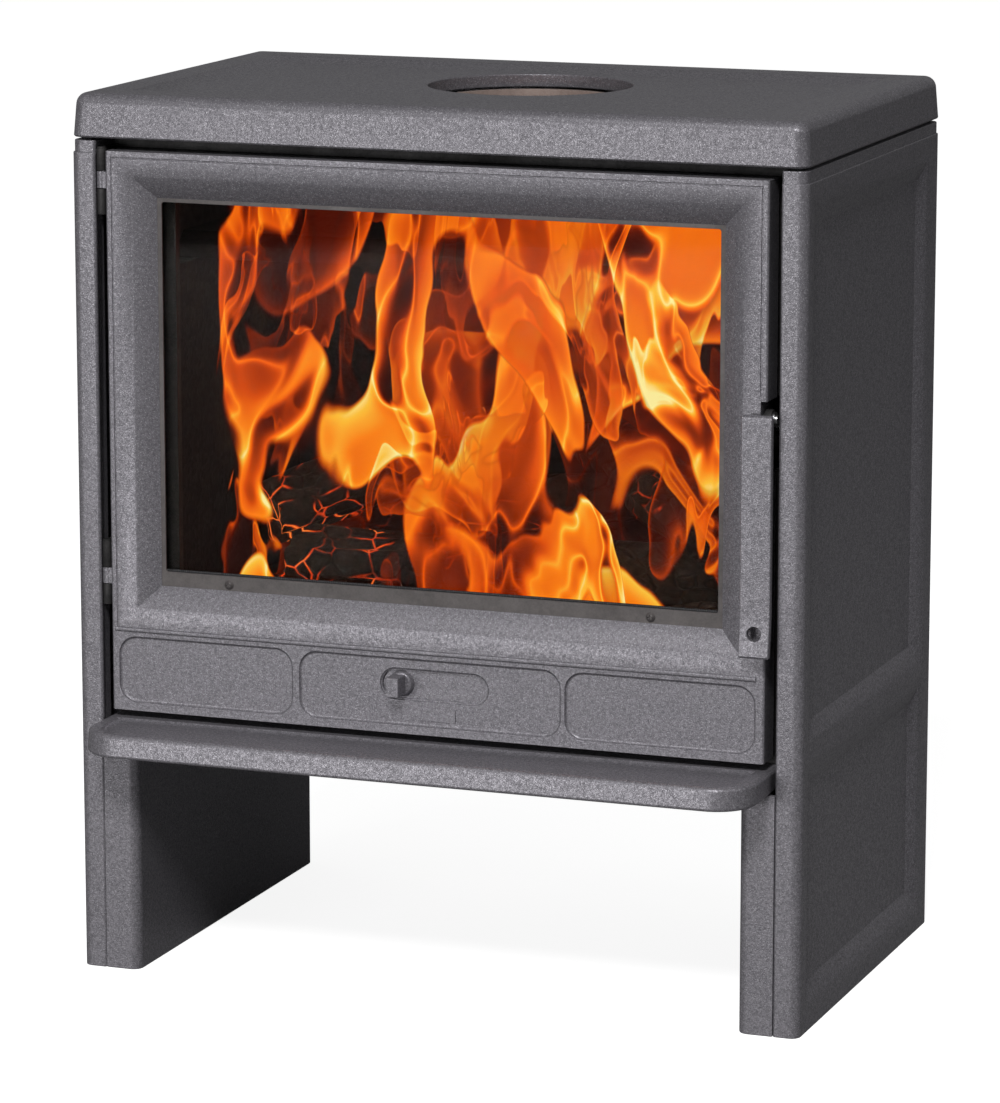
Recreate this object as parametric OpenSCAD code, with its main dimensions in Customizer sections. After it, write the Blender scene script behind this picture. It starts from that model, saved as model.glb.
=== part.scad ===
// A free-standing cast-iron wood burning stove with a side-hinged glass door.
// X runs to the stove's right, Y to its back and Z up. The origin is on the floor,
// under the middle of the whole outline. Depths are measured back from the door's face.

/* [Body] */
// Width over the two side panels
body_w = 640; // [620:2:680]
// Depth of the side panels, front to back
body_d = 388; // [380:2:420]
// Height of the side panels
panel_h = 710.5; // [708:0.5:720]
// Width of the side panel's front face
panel_face = 22; // [20:0.5:26]
// Height of the storage space under the stove
store_h = 202; // [196:1:206]

/* [Lid] */
// Height of the lid's skirt
lid_h = 36.5; // [32:0.5:44]
// Open gap between the side panels and the lid
lid_gap = 2.5; // [2:0.5:4]
// How far the lid overhangs the back
lid_back = 3; // [1:0.5:6]
// Radius of the lid's flue opening
lid_hole_r = 87.5; // [84:0.5:92]
// Depth of the lid's dished field
lid_dish = 5; // [2:0.5:6]

/* [Shelf] */
// How far the front shelf stands out
shelf_out = 68; // [50:1:90]
// Thickness of the shelf's edge
shelf_t = 19.5; // [16:0.5:22]
// Radius of the shelf's front corners
shelf_r = 34; // [20:1:45]

/* [Door] */
// Gap between the door and each side panel
door_gap = 9.5; // [9:0.5:10]
// Height of the door's bottom edge
door_z0 = 228; // [226:0.5:229]
// Height of the door's top edge
door_z1 = 702.5; // [701:0.5:703]
// Width of the window opening
window_w = 496; // [480:2:500]
// Height of the window opening's lower edge
window_z0 = 334.5; // [333:0.5:336]
// Height of the window opening's upper edge
window_z1 = 663.5; // [660:0.5:665]
// Thickness of the ceramic glass
glass_t = 4; // [3:0.5:4]

/* [Flue] */
// Inside radius of the flue collar
collar_r = 76; // [72:0.5:78]
// Depth of the flue axis behind the door's face
flue_depth = 239; // [225:1:250]

/* [Hidden] */
$fn = 96;
eps = 0.01;
paint = [0.42, 0.42, 0.44];
iron = [0.20, 0.20, 0.21];
steel = [0.62, 0.62, 0.64];
brick = [0.72, 0.62, 0.47];
rope = [0.24, 0.24, 0.24];
ceramic = [0.55, 0.45, 0.32, 0.35];
retainer_grey = [0.27, 0.25, 0.24];

half_w = body_w / 2;
panel_in = half_w - panel_face;
front_y = shelf_out - (shelf_out + body_d + lid_back) / 2;
flue_y = front_y + flue_depth;
lid_z0 = panel_h + lid_gap;
lid_z1 = lid_z0 + lid_h;
lid_plate_t = 8;
lid_under = lid_z1 - lid_dish - lid_plate_t;

// Firebox castings
base_t = 8;
base_z1 = store_h + base_t;
frame_d0 = 34;
frame_d1 = 42;
box_x = 280;
box_t = 6;
box_d1 = 352;
floor_z = 304;
floor_t = 7;
roof_z = 694;
roof_t = 6;
mouth_x = 240;
mouth_z0 = 300;
mouth_z1 = 672;
brick_t = 20;
brick_z1 = 600;
shield_d = 378;
shield_t = 1.5;

// Ash pit, ash pan and grate
pit_x = 180;
pit_z = [244, 296];
pit_t = 3;
pan_x = 168;
pan_d = [52, 326];
pan_z = [248, 284];
pan_t = 2;
grate_x = 110;
grate_d = [110, 270];

// Door
door_x = panel_in - door_gap;
door_t = 26;
door_edge_r = 2;
window_x = window_w / 2;
cove_w = 34;
cove_d = 14;
cove_steps = 6;
pocket_x = 259;
pocket_z = [326, 676];
seal_x = [266, 276];
seal_z = [233, 697];
seal_w = 10;
seal_d = [20, 33.6];
cavity_x = 262;
cavity_z = [246, 300];
skin_t = 6;

// Door hinges: knuckles on the body at each height, with the door's lug between them
pin_x = -(panel_in - 4.5);
pin_d = 4.6;
pin_r = 2.5;
knuckle_r = 4.2;
run_gap = 0.05;
hinge_levels = [[649, 670.5, 685.5, 704], [318, 335.5, 350, 372]];

// Latch: a lever on a pin through the door's right edge, and a hook that rides with it
lever_x = [270.5, 296];
lever_z = [318.5, 515.5];
lever_kink = 352;
lever_out = 12;
lever_t = 6;
tool_hole = [283, 338];
tool_r = 5.75;
hook_x = [285, 291];
pivot = [9, 510];
pivot_r = 4;
roller = [29, 499];
roller_r = 3.5;
notch_z = [466, 525];

// Air slide
slot_x = [-44.5, 49];
slot_z = 269.5;
slot_r = 12.2;
slide_x = [-125, 75];
slide_h = 34;
slide_d = [6.3, 9.3];
knob_x = -28;
boss_r = 11.3;

// ---- Helpers -------------------------------------------------------------------------

// A block from ranges in X, depth and Z
module block(x, d, z) {
    translate([x[0], front_y + d[0], z[0]]) cube([x[1] - x[0], d[1] - d[0], z[1] - z[0]]);
}

// A block and its mirror image across the stove's middle
module pair(x, d, z) {
    block(x, d, z);
    mirror([1, 0, 0]) block(x, d, z);
}

// Extrude an outline drawn as [depth, Z] along X
module along_x(x) {
    translate([x[0], front_y, 0]) rotate([90, 0, 90]) linear_extrude(x[1] - x[0]) children();
}

// Extrude an outline drawn as [X, Z] through a range of depths
module along_d(d) {
    translate([0, front_y + d[1], 0]) rotate([90, 0, 0]) linear_extrude(d[1] - d[0]) children();
}

// Extrude an outline drawn as [X, depth] along Z
module along_z(z) {
    translate([0, front_y, z[0]]) linear_extrude(z[1] - z[0]) children();
}

// A rectangle from ranges in both directions
module rect(a, b) {
    translate([a[0], b[0]]) square([a[1] - a[0], b[1] - b[0]]);
}

// A rectangle with four corners of one radius
module round_rect(a, b, r) {
    rect([a[0] + r, a[1] - r], b);
    rect(a, [b[0] + r, b[1] - r]);
    for (u = [a[0] + r, a[1] - r], v = [b[0] + r, b[1] - r]) translate([u, v]) circle(r);
}

// A round rod along Y between two depths, at an [X, Z] place
module rod_d(at, d, r) {
    translate([at[0], front_y + d[0], at[1]]) rotate([-90, 0, 0]) cylinder(h = d[1] - d[0], r = r);
}

// A round rod along X, at a [depth, Z] place
module rod_x(x, at, r) {
    translate([x[0], front_y + at[0], at[1]]) rotate([0, 90, 0]) cylinder(h = x[1] - x[0], r = r);
}

// A round rod along Z, at an [X, depth] place
module rod_z(at, z, r) {
    translate([at[0], front_y + at[1], z[0]]) cylinder(h = z[1] - z[0], r = r);
}

// A rectangular picture frame lying in a range of depths
module frame_ring(x, z, w, d) {
    along_d(d) difference() {
        rect(x, z);
        rect([x[0] + w, x[1] - w], [z[0] + w, z[1] - w]);
    }
}

// ---- Lid -----------------------------------------------------------------------------

lid_draft = 2.5;
lid_front = 1;
lid_corner = 9;
lid_rim = 38;
lid_rim_slope = 12;
lid_skirt = 10;
lid_d = [-lid_front, body_d + lid_back];

module top_plate() color(paint) {
    difference() {
        intersection() {
            along_z([lid_z0, lid_z1]) round_rect([-half_w, half_w], lid_d, lid_corner);
            along_d(lid_d) polygon([
                [-half_w, lid_z0], [half_w, lid_z0],
                [half_w - lid_draft, lid_z1], [-half_w + lid_draft, lid_z1]
            ]);
            along_x([-half_w, half_w]) polygon([
                [lid_d[0], lid_z0], [lid_d[1], lid_z0],
                [lid_d[1] - lid_draft, lid_z1], [lid_d[0] + lid_draft, lid_z1]
            ]);
        }
        lid_field();
        block([-half_w + lid_skirt, half_w - lid_skirt], [lid_skirt, body_d - lid_skirt],
            [lid_z0 - 1, lid_under]);
        rod_z([0, flue_depth], [lid_under - 1, lid_z1 + 1], lid_hole_r);
    }
}

// The dished field: every section is a rectangle that narrows with depth
module lid_field() {
    x0 = half_w - lid_rim;
    s = lid_rim_slope;
    d = [lid_rim, body_d - lid_rim];
    z = [lid_z1 - lid_dish, lid_z1 + lid_dish];
    intersection() {
        along_d([0, body_d]) polygon([
            [-x0 + s, z[0]], [x0 - s, z[0]], [x0 + s, z[1]], [-x0 - s, z[1]]
        ]);
        along_x([-half_w, half_w]) polygon([
            [d[0] + s, z[0]], [d[1] - s, z[0]], [d[1] + s, z[1]], [d[0] - s, z[1]]
        ]);
    }
}

pad_r = 6;

module lid_pads() color(rope) {
    for (x = [-1, 1], d = [14, body_d - 14]) {
        rod_z([x * (half_w - panel_face / 2), d], [panel_h, lid_z0], pad_r);
    }
}

// ---- Side panels and legs ------------------------------------------------------------

panel_edge_r = 8;
panel_inner_r = 3;
panel_wall = 13;
panel_flange = 16;
panel_band = 10;
band_inset = 1;
field_deep = 7;
field_slope = 24;
field_margin = 14;
rear_cove_extra = 12;
upper_field_z = [232, 688];
lower_field_z = [14, 232];
rib_half = 2;

// The right panel seen from above: a channel with its flanges turned inward
module panel_outline(inset) {
    x1 = half_w - inset;
    d = [inset, body_d - inset];
    difference() {
        union() {
            rect([panel_in + panel_inner_r, x1 - panel_edge_r], d);
            rect([panel_in, x1], [d[0] + panel_edge_r, d[1] - panel_edge_r]);
            for (v = [d[0] + panel_edge_r, d[1] - panel_edge_r]) {
                translate([x1 - panel_edge_r, v]) circle(panel_edge_r);
            }
            for (v = [d[0] + panel_inner_r, d[1] - panel_inner_r]) {
                translate([panel_in + panel_inner_r, v]) circle(panel_inner_r);
            }
            rect([panel_in, panel_in + panel_inner_r],
                [d[0] + panel_inner_r, d[1] - panel_inner_r]);
        }
        rect([panel_in - 1, half_w - panel_wall], [panel_flange, body_d - panel_flange]);
    }
}

// A sunk field in the right panel's outer face, with sloped sides and mitred corners
module panel_field(z) {
    d = [field_margin, body_d - field_margin - rear_cove_extra];
    s = field_slope;
    x = [half_w - field_deep, half_w + field_deep];
    intersection() {
        along_z(z) polygon([
            [x[0], d[0] + s], [x[0], d[1] - s], [x[1], d[1] + s], [x[1], d[0] - s]
        ]);
        along_d([0, body_d]) polygon([
            [x[0], z[0] + s], [x[1], z[0] - s], [x[1], z[1] + s], [x[0], z[1] - s]
        ]);
    }
}

module right_panel_shape() {
    difference() {
        union() {
            along_z([0, panel_h - panel_band]) panel_outline(0);
            along_z([panel_h - panel_band, panel_h]) panel_outline(band_inset);
        }
        panel_field([upper_field_z[0] + rib_half, upper_field_z[1]]);
        panel_field([lower_field_z[0], lower_field_z[1] - rib_half]);
    }
}

module right_side_panel() color(paint) right_panel_shape();

module left_side_panel() color(paint) mirror([1, 0, 0]) right_panel_shape();

leg_in = 267.5;
leg_wall = 6;
leg_edge_r = 9;

module right_leg_shape() {
    along_z([0, store_h]) difference() {
        union() {
            rect([leg_in + leg_edge_r, panel_in], [0, body_d]);
            rect([leg_in, panel_in], [leg_edge_r, body_d - leg_edge_r]);
            for (v = [leg_edge_r, body_d - leg_edge_r]) {
                translate([leg_in + leg_edge_r, v]) circle(leg_edge_r);
            }
        }
        rect([leg_in + leg_wall, panel_in + 1], [leg_wall, body_d - leg_wall]);
    }
}

module right_leg_liner() color(paint) right_leg_shape();

module left_leg_liner() color(paint) mirror([1, 0, 0]) right_leg_shape();

// ---- Shelf and base ------------------------------------------------------------------

shelf_x = 293.5;
shelf_back = frame_d0 - 1;
shelf_top = store_h + shelf_t;
shelf_rim = 7;
shelf_dish = 2.5;

module shelf_outline(inset) {
    r = shelf_r - inset;
    x = shelf_x - inset;
    d0 = -shelf_out + inset;
    rect([-x + r, x - r], [d0, shelf_back - inset]);
    rect([-x, x], [d0 + r, shelf_back - inset]);
    for (u = [-1, 1]) translate([u * (x - r), d0 + r]) circle(r);
}

module front_shelf() color(paint) {
    difference() {
        along_z([store_h, shelf_top]) shelf_outline(0);
        along_z([shelf_top - shelf_dish, shelf_top + 1]) intersection() {
            shelf_outline(shelf_rim);
            rect([-half_w, half_w], [-shelf_out, -2]);
        }
    }
}

module base_plate() color(iron) {
    block([-panel_in + 1, panel_in - 1], [frame_d0 - 1, body_d - 6], [store_h, base_z1]);
}

tray_t = 1.5;
tray_drop = 8;
tray_d = [40, 350];

module bottom_heat_shield() color(steel) {
    x = leg_in - tray_drop;
    along_d(tray_d) difference() {
        rect([-x, x], [store_h - tray_drop, store_h]);
        rect([-x + tray_t, x - tray_t], [store_h - tray_drop + tray_t, store_h + 1]);
    }
}

// ---- Firebox -------------------------------------------------------------------------

catch_slot_x = [282, 292.6];

module front_frame() color(paint) {
    difference() {
        block([-panel_in + 0.5, panel_in - 0.5], [frame_d0, frame_d1], [base_z1, panel_h - 0.5]);
        block([-mouth_x, mouth_x], [frame_d0 - 1, frame_d1 + 1], [mouth_z0, mouth_z1]);
        block([-pit_x + pit_t, pit_x - pit_t], [frame_d0 - 1, frame_d1 + 1],
            [pit_z[0] + pit_t, pit_z[1] - 6]);
        block(catch_slot_x, [frame_d0 - 1, frame_d1 + 1], notch_z);
    }
}

module firebox_wall() {
    block([box_x - box_t, box_x], [frame_d1, box_d1], [base_z1, roof_z]);
}

module firebox_right_wall() color(iron) firebox_wall();

module firebox_left_wall() color(iron) mirror([1, 0, 0]) firebox_wall();

module firebox_back() color(iron) {
    block([-box_x, box_x], [box_d1, box_d1 + box_t], [base_z1, roof_z]);
}

module firebox_roof() color(iron) {
    difference() {
        block([-box_x, box_x], [frame_d1, box_d1 + box_t], [roof_z, roof_z + roof_t]);
        rod_z([0, flue_depth], [roof_z - 1, roof_z + roof_t + 1], collar_r + 2);
    }
}

module firebox_floor() color(iron) {
    x = box_x - box_t;
    difference() {
        block([-x, x], [frame_d1, box_d1], [floor_z - floor_t, floor_z]);
        block([-grate_x, grate_x], grate_d, [floor_z - floor_t - 1, floor_z + 1]);
    }
}

collar_flange_r = 97;
collar_flange_t = 6;
collar_wall = 6;
collar_z0 = roof_z + roof_t;
collar_z1 = lid_under - 4;
bolt_circle_r = 89.5;
bolt_count = 4;
bolt_r = 4;

module flue_collar() color(iron) {
    difference() {
        union() {
            rod_z([0, flue_depth], [collar_z0, collar_z0 + collar_flange_t], collar_flange_r);
            rod_z([0, flue_depth], [collar_z0, collar_z1], collar_r + collar_wall);
        }
        rod_z([0, flue_depth], [collar_z0 - 1, collar_z1 + 1], collar_r);
    }
}

module flue_collar_bolts() color(steel) {
    for (i = [0 : bolt_count - 1]) {
        a = 45 + i * 360 / bolt_count;
        at = [bolt_circle_r * cos(a), flue_depth + bolt_circle_r * sin(a)];
        z = collar_z0 + collar_flange_t;
        translate([at[0], front_y + at[1], z]) cylinder(h = 5, r = bolt_r * 1.7, $fn = 6);
    }
}

brick_d0 = 60;

module fire_brick_side() {
    x = box_x - box_t;
    block([x - brick_t, x], [brick_d0, box_d1], [floor_z, brick_z1]);
}

module right_fire_brick() color(brick) fire_brick_side();

module left_fire_brick() color(brick) mirror([1, 0, 0]) fire_brick_side();

module back_fire_brick() color(brick) {
    x = box_x - box_t - brick_t;
    block([-x, x], [box_d1 - brick_t, box_d1], [floor_z, brick_z1]);
}

baffle_d = [112, box_d1 - 2];
baffle_t = 22;
baffle_chamfer = [12, 10];

module baffle_plate() color(brick) {
    x = box_x - box_t - 1;
    z = [brick_z1, brick_z1 + baffle_t];
    along_x([-x, x]) polygon([
        [baffle_d[0], z[0]], [baffle_d[1], z[0]], [baffle_d[1], z[1]],
        [baffle_d[0] + baffle_chamfer[0], z[1]], [baffle_d[0], z[1] - baffle_chamfer[1]]
    ]);
}

duct_t = 2;
duct_d = 40;
duct_slot = 8;

module air_wash_duct() color(iron) {
    d = [frame_d1 + duct_slot, frame_d1 + duct_d];
    z = [mouth_z1 + duct_t, roof_z];
    block([-mouth_x, mouth_x], [d[1] - duct_t, d[1]], z);
    block([-mouth_x, mouth_x], d, [z[0], z[0] + duct_t]);
}

guard_posts = 9;
guard_h = 34;
guard_bar = 8;
guard_foot = 10;
guard_d = [50, 58];

module log_guard() color(iron) {
    x = mouth_x - 6;
    z = [floor_z + guard_foot, floor_z + guard_h - guard_bar];
    block([-x, x], guard_d, [floor_z, z[0]]);
    block([-x, x], guard_d, [z[1], z[1] + guard_bar]);
    for (i = [0 : guard_posts - 1]) {
        u = -x + i * (2 * x - guard_bar) / (guard_posts - 1);
        block([u, u + guard_bar], guard_d, [z[0] - eps, z[1] + eps]);
    }
}

grate_slots = 9;
grate_slot_w = 10;
grate_rim = 12;
grate_lug = [8, 60];
grate_proud = 2;

module grate() color(iron) {
    x = grate_x - 1;
    d = [grate_d[0] + 1, grate_d[1] - 1];
    pitch = (2 * x - grate_rim) / grate_slots;
    z = [floor_z - floor_t + 1, floor_z + grate_proud];
    difference() {
        block([-x, x], d, z);
        for (i = [0 : grate_slots - 1]) {
            u = -x + grate_rim / 2 + (i + 0.5) * pitch;
            block([u - grate_slot_w / 2, u + grate_slot_w / 2],
                [d[0] + grate_rim, d[1] - grate_rim], [z[0] - 1, z[1] + 1]);
        }
    }
    pair([x - 1, grate_x + grate_lug[0]], [d[0] + grate_lug[1], d[1] - grate_lug[1]],
        [floor_z, z[1]]);
}

pit_d1 = 334;

module ash_pit() color(iron) {
    x = pit_x;
    d = [frame_d1, pit_d1];
    block([-x, x], d, [pit_z[0], pit_z[0] + pit_t]);
    pair([x - pit_t, x], d, [pit_z[0], pit_z[1]]);
    block([-x, x], [d[1] - pit_t, d[1]], pit_z);
}

// Half width, reach, drop from the rim and thickness of the pan's grip
pan_grip = [40, 8, 12, 3];

module ash_pan() color(steel) {
    difference() {
        block([-pan_x, pan_x], pan_d, pan_z);
        block([-pan_x + pan_t, pan_x - pan_t], [pan_d[0] + pan_t, pan_d[1] - pan_t],
            [pan_z[0] + pan_t, pan_z[1] + 1]);
    }
    block([-pan_grip[0], pan_grip[0]], [pan_d[0] - pan_grip[1], pan_d[0] + eps],
        [pan_z[1] - pan_grip[2], pan_z[1] - pan_grip[2] + pan_grip[3]]);
}

spacer_r = 8;

module panel_spacers() color(iron) {
    for (side = [0, 1], d = [80, 320], z = [260, 640]) {
        mirror([side, 0, 0]) rod_x([box_x, half_w - panel_wall], [d, z], spacer_r);
    }
}

rod_r = 4;
rod_d = 365;

module rear_tie_rods() color(steel) {
    x = half_w - panel_wall;
    for (z = [320, 640]) rod_x([-x, x], [rod_d, z], rod_r);
}

vent_count = 9;
vent_z = [[236, 276], [640, 680]];
vent_w = 10;
vent_pitch = 56;

module rear_heat_shield() color(steel) {
    x = panel_in - 3;
    difference() {
        block([-x, x], [shield_d, shield_d + shield_t], [base_z1 + 4, panel_h - 14]);
        for (i = [0 : vent_count - 1], z = vent_z) {
            u = (i - (vent_count - 1) / 2) * vent_pitch;
            along_d([shield_d - 1, shield_d + shield_t + 1])
                round_rect([u - vent_w / 2, u + vent_w / 2], z, vent_w / 2 - eps);
        }
    }
}

shield_points = [[-240, 300], [0, 300], [240, 300], [-240, 610], [0, 610], [240, 610]];

module rear_shield_spacers() color(steel) {
    for (p = shield_points) rod_d(p, [box_d1 + box_t, shield_d], 6);
}

module rear_shield_screws() color(steel) {
    d = [shield_d + shield_t, shield_d + shield_t + 3.5];
    for (p = shield_points) rod_d(p, d, 5.5);
}

// ---- Hinges --------------------------------------------------------------------------

// Two knuckles on arms that reach forward from the front frame, bored for the pin
module hinge_bracket(level) {
    arm = [pin_x - knuckle_r, pin_x + 2];
    difference() {
        union() {
            for (z = [[level[0], level[1]], [level[2], level[3]]]) {
                rod_z([pin_x, pin_d], z, knuckle_r);
                block(arm, [pin_d, frame_d0], z);
            }
            block(arm, [frame_d0 - 6, frame_d0], [level[0], level[3]]);
        }
        rod_z([pin_x, pin_d], [level[0] - 1, level[3] + 1], pin_r);
    }
}

module hinge_pin(level) {
    rod_z([pin_x, pin_d], [level[0], level[3]], pin_r);
    rod_z([pin_x, pin_d], [level[3], level[3] + 1.5], pin_r + 1.2);
}

module upper_hinge_bracket() color(iron) hinge_bracket(hinge_levels[0]);

module lower_hinge_bracket() color(iron) hinge_bracket(hinge_levels[1]);

module upper_hinge_pin() color(steel) hinge_pin(hinge_levels[0]);

module lower_hinge_pin() color(steel) hinge_pin(hinge_levels[1]);

// The door's own lug, which turns between the two knuckles
module door_lug(level) {
    z = [level[1] + 0.5, level[2] - 0.5];
    rod_z([pin_x, pin_d], z, knuckle_r);
    block([pin_x, -door_x + 6], [pin_d - knuckle_r + 0.6, pin_d + knuckle_r], z);
}

// ---- Door ----------------------------------------------------------------------------

// Half of the moulding's opening at a share t of the way out from the window's edge
function cove_depth(t) = cove_d * pow(1 - t, 2);

// Points with their two coordinates exchanged
function swap(points) = [for (p = points) [p[1], p[0]]];

// The moulding's two sides in one direction, from [low, high] edges of the window
function cove_outline(a) = concat(
    [[a[0], door_t + 1]],
    [for (i = [0 : cove_steps]) [a[0] - cove_w * i / cove_steps, cove_depth(i / cove_steps)]],
    [[a[0] - cove_w, -2], [a[1] + cove_w, -2]],
    [for (i = [cove_steps : -1 : 0]) [a[1] + cove_w * i / cove_steps, cove_depth(i / cove_steps)]],
    [[a[1], door_t + 1]]
);

// Window opening with its sunk moulding, mitred at the corners
module window_cut() {
    intersection() {
        along_z([door_z0, door_z1]) polygon(cove_outline([-window_x, window_x]));
        along_x([-door_x, door_x]) polygon(swap(cove_outline([window_z0, window_z1])));
    }
}

lower_panels = [[-282, -123.5], [-117.5, 114], [117.5, 281]];
lower_panel_z = [235, 292];
lower_panel_r = 16;
lower_panel_deep = 1.4;
rim_w = 5;
groove_w = 1.2;
groove_deep = 0.8;
ridge_z = 298;

module door_lower_panels() {
    for (x = lower_panels) {
        along_d([-1, lower_panel_deep]) round_rect(x, lower_panel_z, lower_panel_r);
    }
}

module door_rim_grooves() {
    d = [-1, groove_deep];
    x = door_x - rim_w;
    z1 = door_z1 - rim_w;
    block([-x, x], d, [z1 - groove_w, z1]);
    block([x - groove_w, x], d, [notch_z[1] + 4, z1]);
    block([-x, -x + groove_w], d, [ridge_z, z1]);
}

module slot_outline() {
    rect([slot_x[0] + slot_r, slot_x[1] - slot_r], [slot_z - slot_r, slot_z + slot_r]);
    for (u = [slot_x[0] + slot_r, slot_x[1] - slot_r]) translate([u, slot_z]) circle(slot_r);
}

module door_frame() color(paint) {
    difference() {
        union() {
            along_z([door_z0, door_z1]) union() {
                rect([-door_x, door_x], [door_edge_r, door_t]);
                rect([-door_x + door_edge_r, door_x - door_edge_r], [0, door_t]);
                for (u = [-1, 1]) {
                    translate([u * (door_x - door_edge_r), door_edge_r]) circle(door_edge_r);
                }
            }
            for (level = hinge_levels) door_lug(level);
        }
        window_cut();
        along_d([cove_d, door_t + 1]) rect([-pocket_x, pocket_x], pocket_z);
        along_d([skin_t, door_t + 1]) rect([-cavity_x, cavity_x], cavity_z);
        along_d([-2, door_t]) slot_outline();
        door_lower_panels();
        door_rim_grooves();
        frame_ring([-seal_x[1], seal_x[1]], seal_z, seal_w, [seal_d[0], door_t + 1]);
        block([door_x - rim_w - 0.5, door_x + 1], [-1, door_t + 1], notch_z);
        rod_x([lever_x[0] - 6, door_x], pivot, pivot_r + run_gap);
        for (level = hinge_levels) {
            rod_z([pin_x, pin_d], [level[1] - 1, level[2] + 1], pin_r + run_gap);
        }
        for (u = [-1, 1]) rod_d([u * screw_x, screw_z], [cove_d, door_t + 1], screw_r);
    }
    ridge();
    air_wedge();
}

module ridge() {
    block([-door_x + 3, door_x - 7], [-1, 0.5], [ridge_z - 1.5, ridge_z + 1.5]);
}

wedge_deep = 0.6;

// A raised wedge that shows which way opens the air
module air_wedge() {
    along_d([lower_panel_deep - wedge_deep, lower_panel_deep + 0.5]) {
        polygon([[-17, 240.5], [21, 240.5], [21, 250]]);
    }
}

glass_x = 255;
glass_z = [343, 672];
glass_d = [17, 17 + glass_t];
retainer_d = [cove_d + 0.2, cove_d + 1.8];
retainer_x = 244;
retainer_z = [347, 660];
screw_x = 186.5;
screw_z = 339.5;
screw_r = 2;

module door_glass() color(ceramic) block([-glass_x, glass_x], glass_d, glass_z);

module glass_gasket() color(rope) {
    frame_ring([-glass_x + 1, glass_x - 1], [glass_z[0] + 1, glass_z[1] - 1], 5,
        [retainer_d[1], glass_d[0]]);
}

module glass_retainer() color(retainer_grey) {
    difference() {
        block([-pocket_x + 1, pocket_x - 1], retainer_d, [pocket_z[0] + 1, pocket_z[1] - 1]);
        block([-retainer_x, retainer_x], [0, door_t], retainer_z);
        for (u = [-1, 1]) rod_d([u * screw_x, screw_z], [0, door_t], screw_r);
    }
}

module glass_screws() color(retainer_grey) {
    for (u = [-1, 1]) {
        rod_d([u * screw_x, screw_z], [retainer_d[0] - 2.2, retainer_d[0]], 4.2);
        rod_d([u * screw_x, screw_z], [retainer_d[0], door_t - 4], screw_r);
    }
}

clip_x = [-200, -40, 120];
clip_w = 24;
clip_t = 2;
clip_end = 5;
clip_screw_z = [317, 681];
clip_foot_z = [[343, 346.5], [662, 669]];

// One glass clip: a plate on the door's back with a foot on the glass
module glass_clip(x, z_plate, z_foot) {
    block([x, x + clip_w], [door_t, door_t + clip_t], z_plate);
    block([x, x + clip_w], [glass_d[1], door_t + clip_t], z_foot);
}

module glass_clips() color(steel) {
    for (x = clip_x) {
        glass_clip(x, [clip_screw_z[0] - clip_end, clip_foot_z[0][1]], clip_foot_z[0]);
        glass_clip(x, [clip_foot_z[1][0], clip_screw_z[1] + clip_end], clip_foot_z[1]);
    }
}

module glass_clip_screws() color(steel) {
    for (x = clip_x, z = clip_screw_z) {
        rod_d([x + clip_w / 2, z], [door_t + clip_t, door_t + clip_t + 2.5], 3.5);
    }
}

module door_gasket() color(rope) {
    frame_ring([-seal_x[1] + 0.4, seal_x[1] - 0.4], [seal_z[0] + 0.4, seal_z[1] - 0.4],
        seal_w - 0.8, seal_d);
}

rail_x = 190;
rail_lip = 3;
rail_gap = 0.3;

// The lower rail; the upper one is its mirror image
module slide_rail() {
    edge = slide_h / 2 + rail_gap;
    block([-rail_x, rail_x], [skin_t, slide_d[1] + rail_gap + 3],
        [slot_z - edge - 4, slot_z - edge]);
    block([-rail_x, rail_x], [slide_d[1] + rail_gap, slide_d[1] + rail_gap + 3],
        [slot_z - edge - 4, slot_z - edge + rail_lip]);
}

module air_slide_guides() color(iron) {
    slide_rail();
    translate([0, 0, slot_z]) mirror([0, 0, 1]) translate([0, 0, -slot_z]) slide_rail();
}

cover_holes = 12;

module air_chamber_cover() color(iron) {
    difference() {
        block([-cavity_x + 0.5, cavity_x - 0.5], [door_t - 2, door_t],
            [cavity_z[0] + 0.5, cavity_z[1] - 0.5]);
        for (i = [0 : cover_holes - 1]) {
            u = (i - (cover_holes - 1) / 2) * 38;
            rod_d([u, slot_z], [door_t - 3, door_t + 1], 8);
        }
    }
}

module air_slide() color(paint) {
    block(slide_x, slide_d, [slot_z - slide_h / 2, slot_z + slide_h / 2]);
}

knob_head = [10.7, 18.5];
knob_d = [-15, -3];

module air_knob() color(paint) {
    w = knob_head / 2;
    rod_d([knob_x, slot_z], [knob_d[1], slide_d[0]], boss_r);
    block([knob_x - w[0], knob_x + w[0]], [knob_d[0], knob_d[1] + eps],
        [slot_z - w[1], slot_z + w[1]]);
}

// ---- Latch ---------------------------------------------------------------------------

lever_kick = 4;
lever_top_r = 3.5;

module door_handle() color(paint) {
    d0 = -lever_out;
    d1 = -lever_out + lever_t;
    z = lever_z;
    difference() {
        along_x(lever_x) polygon([
            [d0, lever_kink], [d0, z[1] - lever_top_r], [d0 + lever_top_r, z[1]],
            [d1 - 1, z[1]], [d1, z[1] - 2], [d1, lever_kink],
            [d1 - lever_kick, z[0]], [d0 - lever_kick, z[0]]
        ]);
        rod_d(tool_hole, [-30, 0], tool_r);
    }
}

hook_bar = 8;

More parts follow.
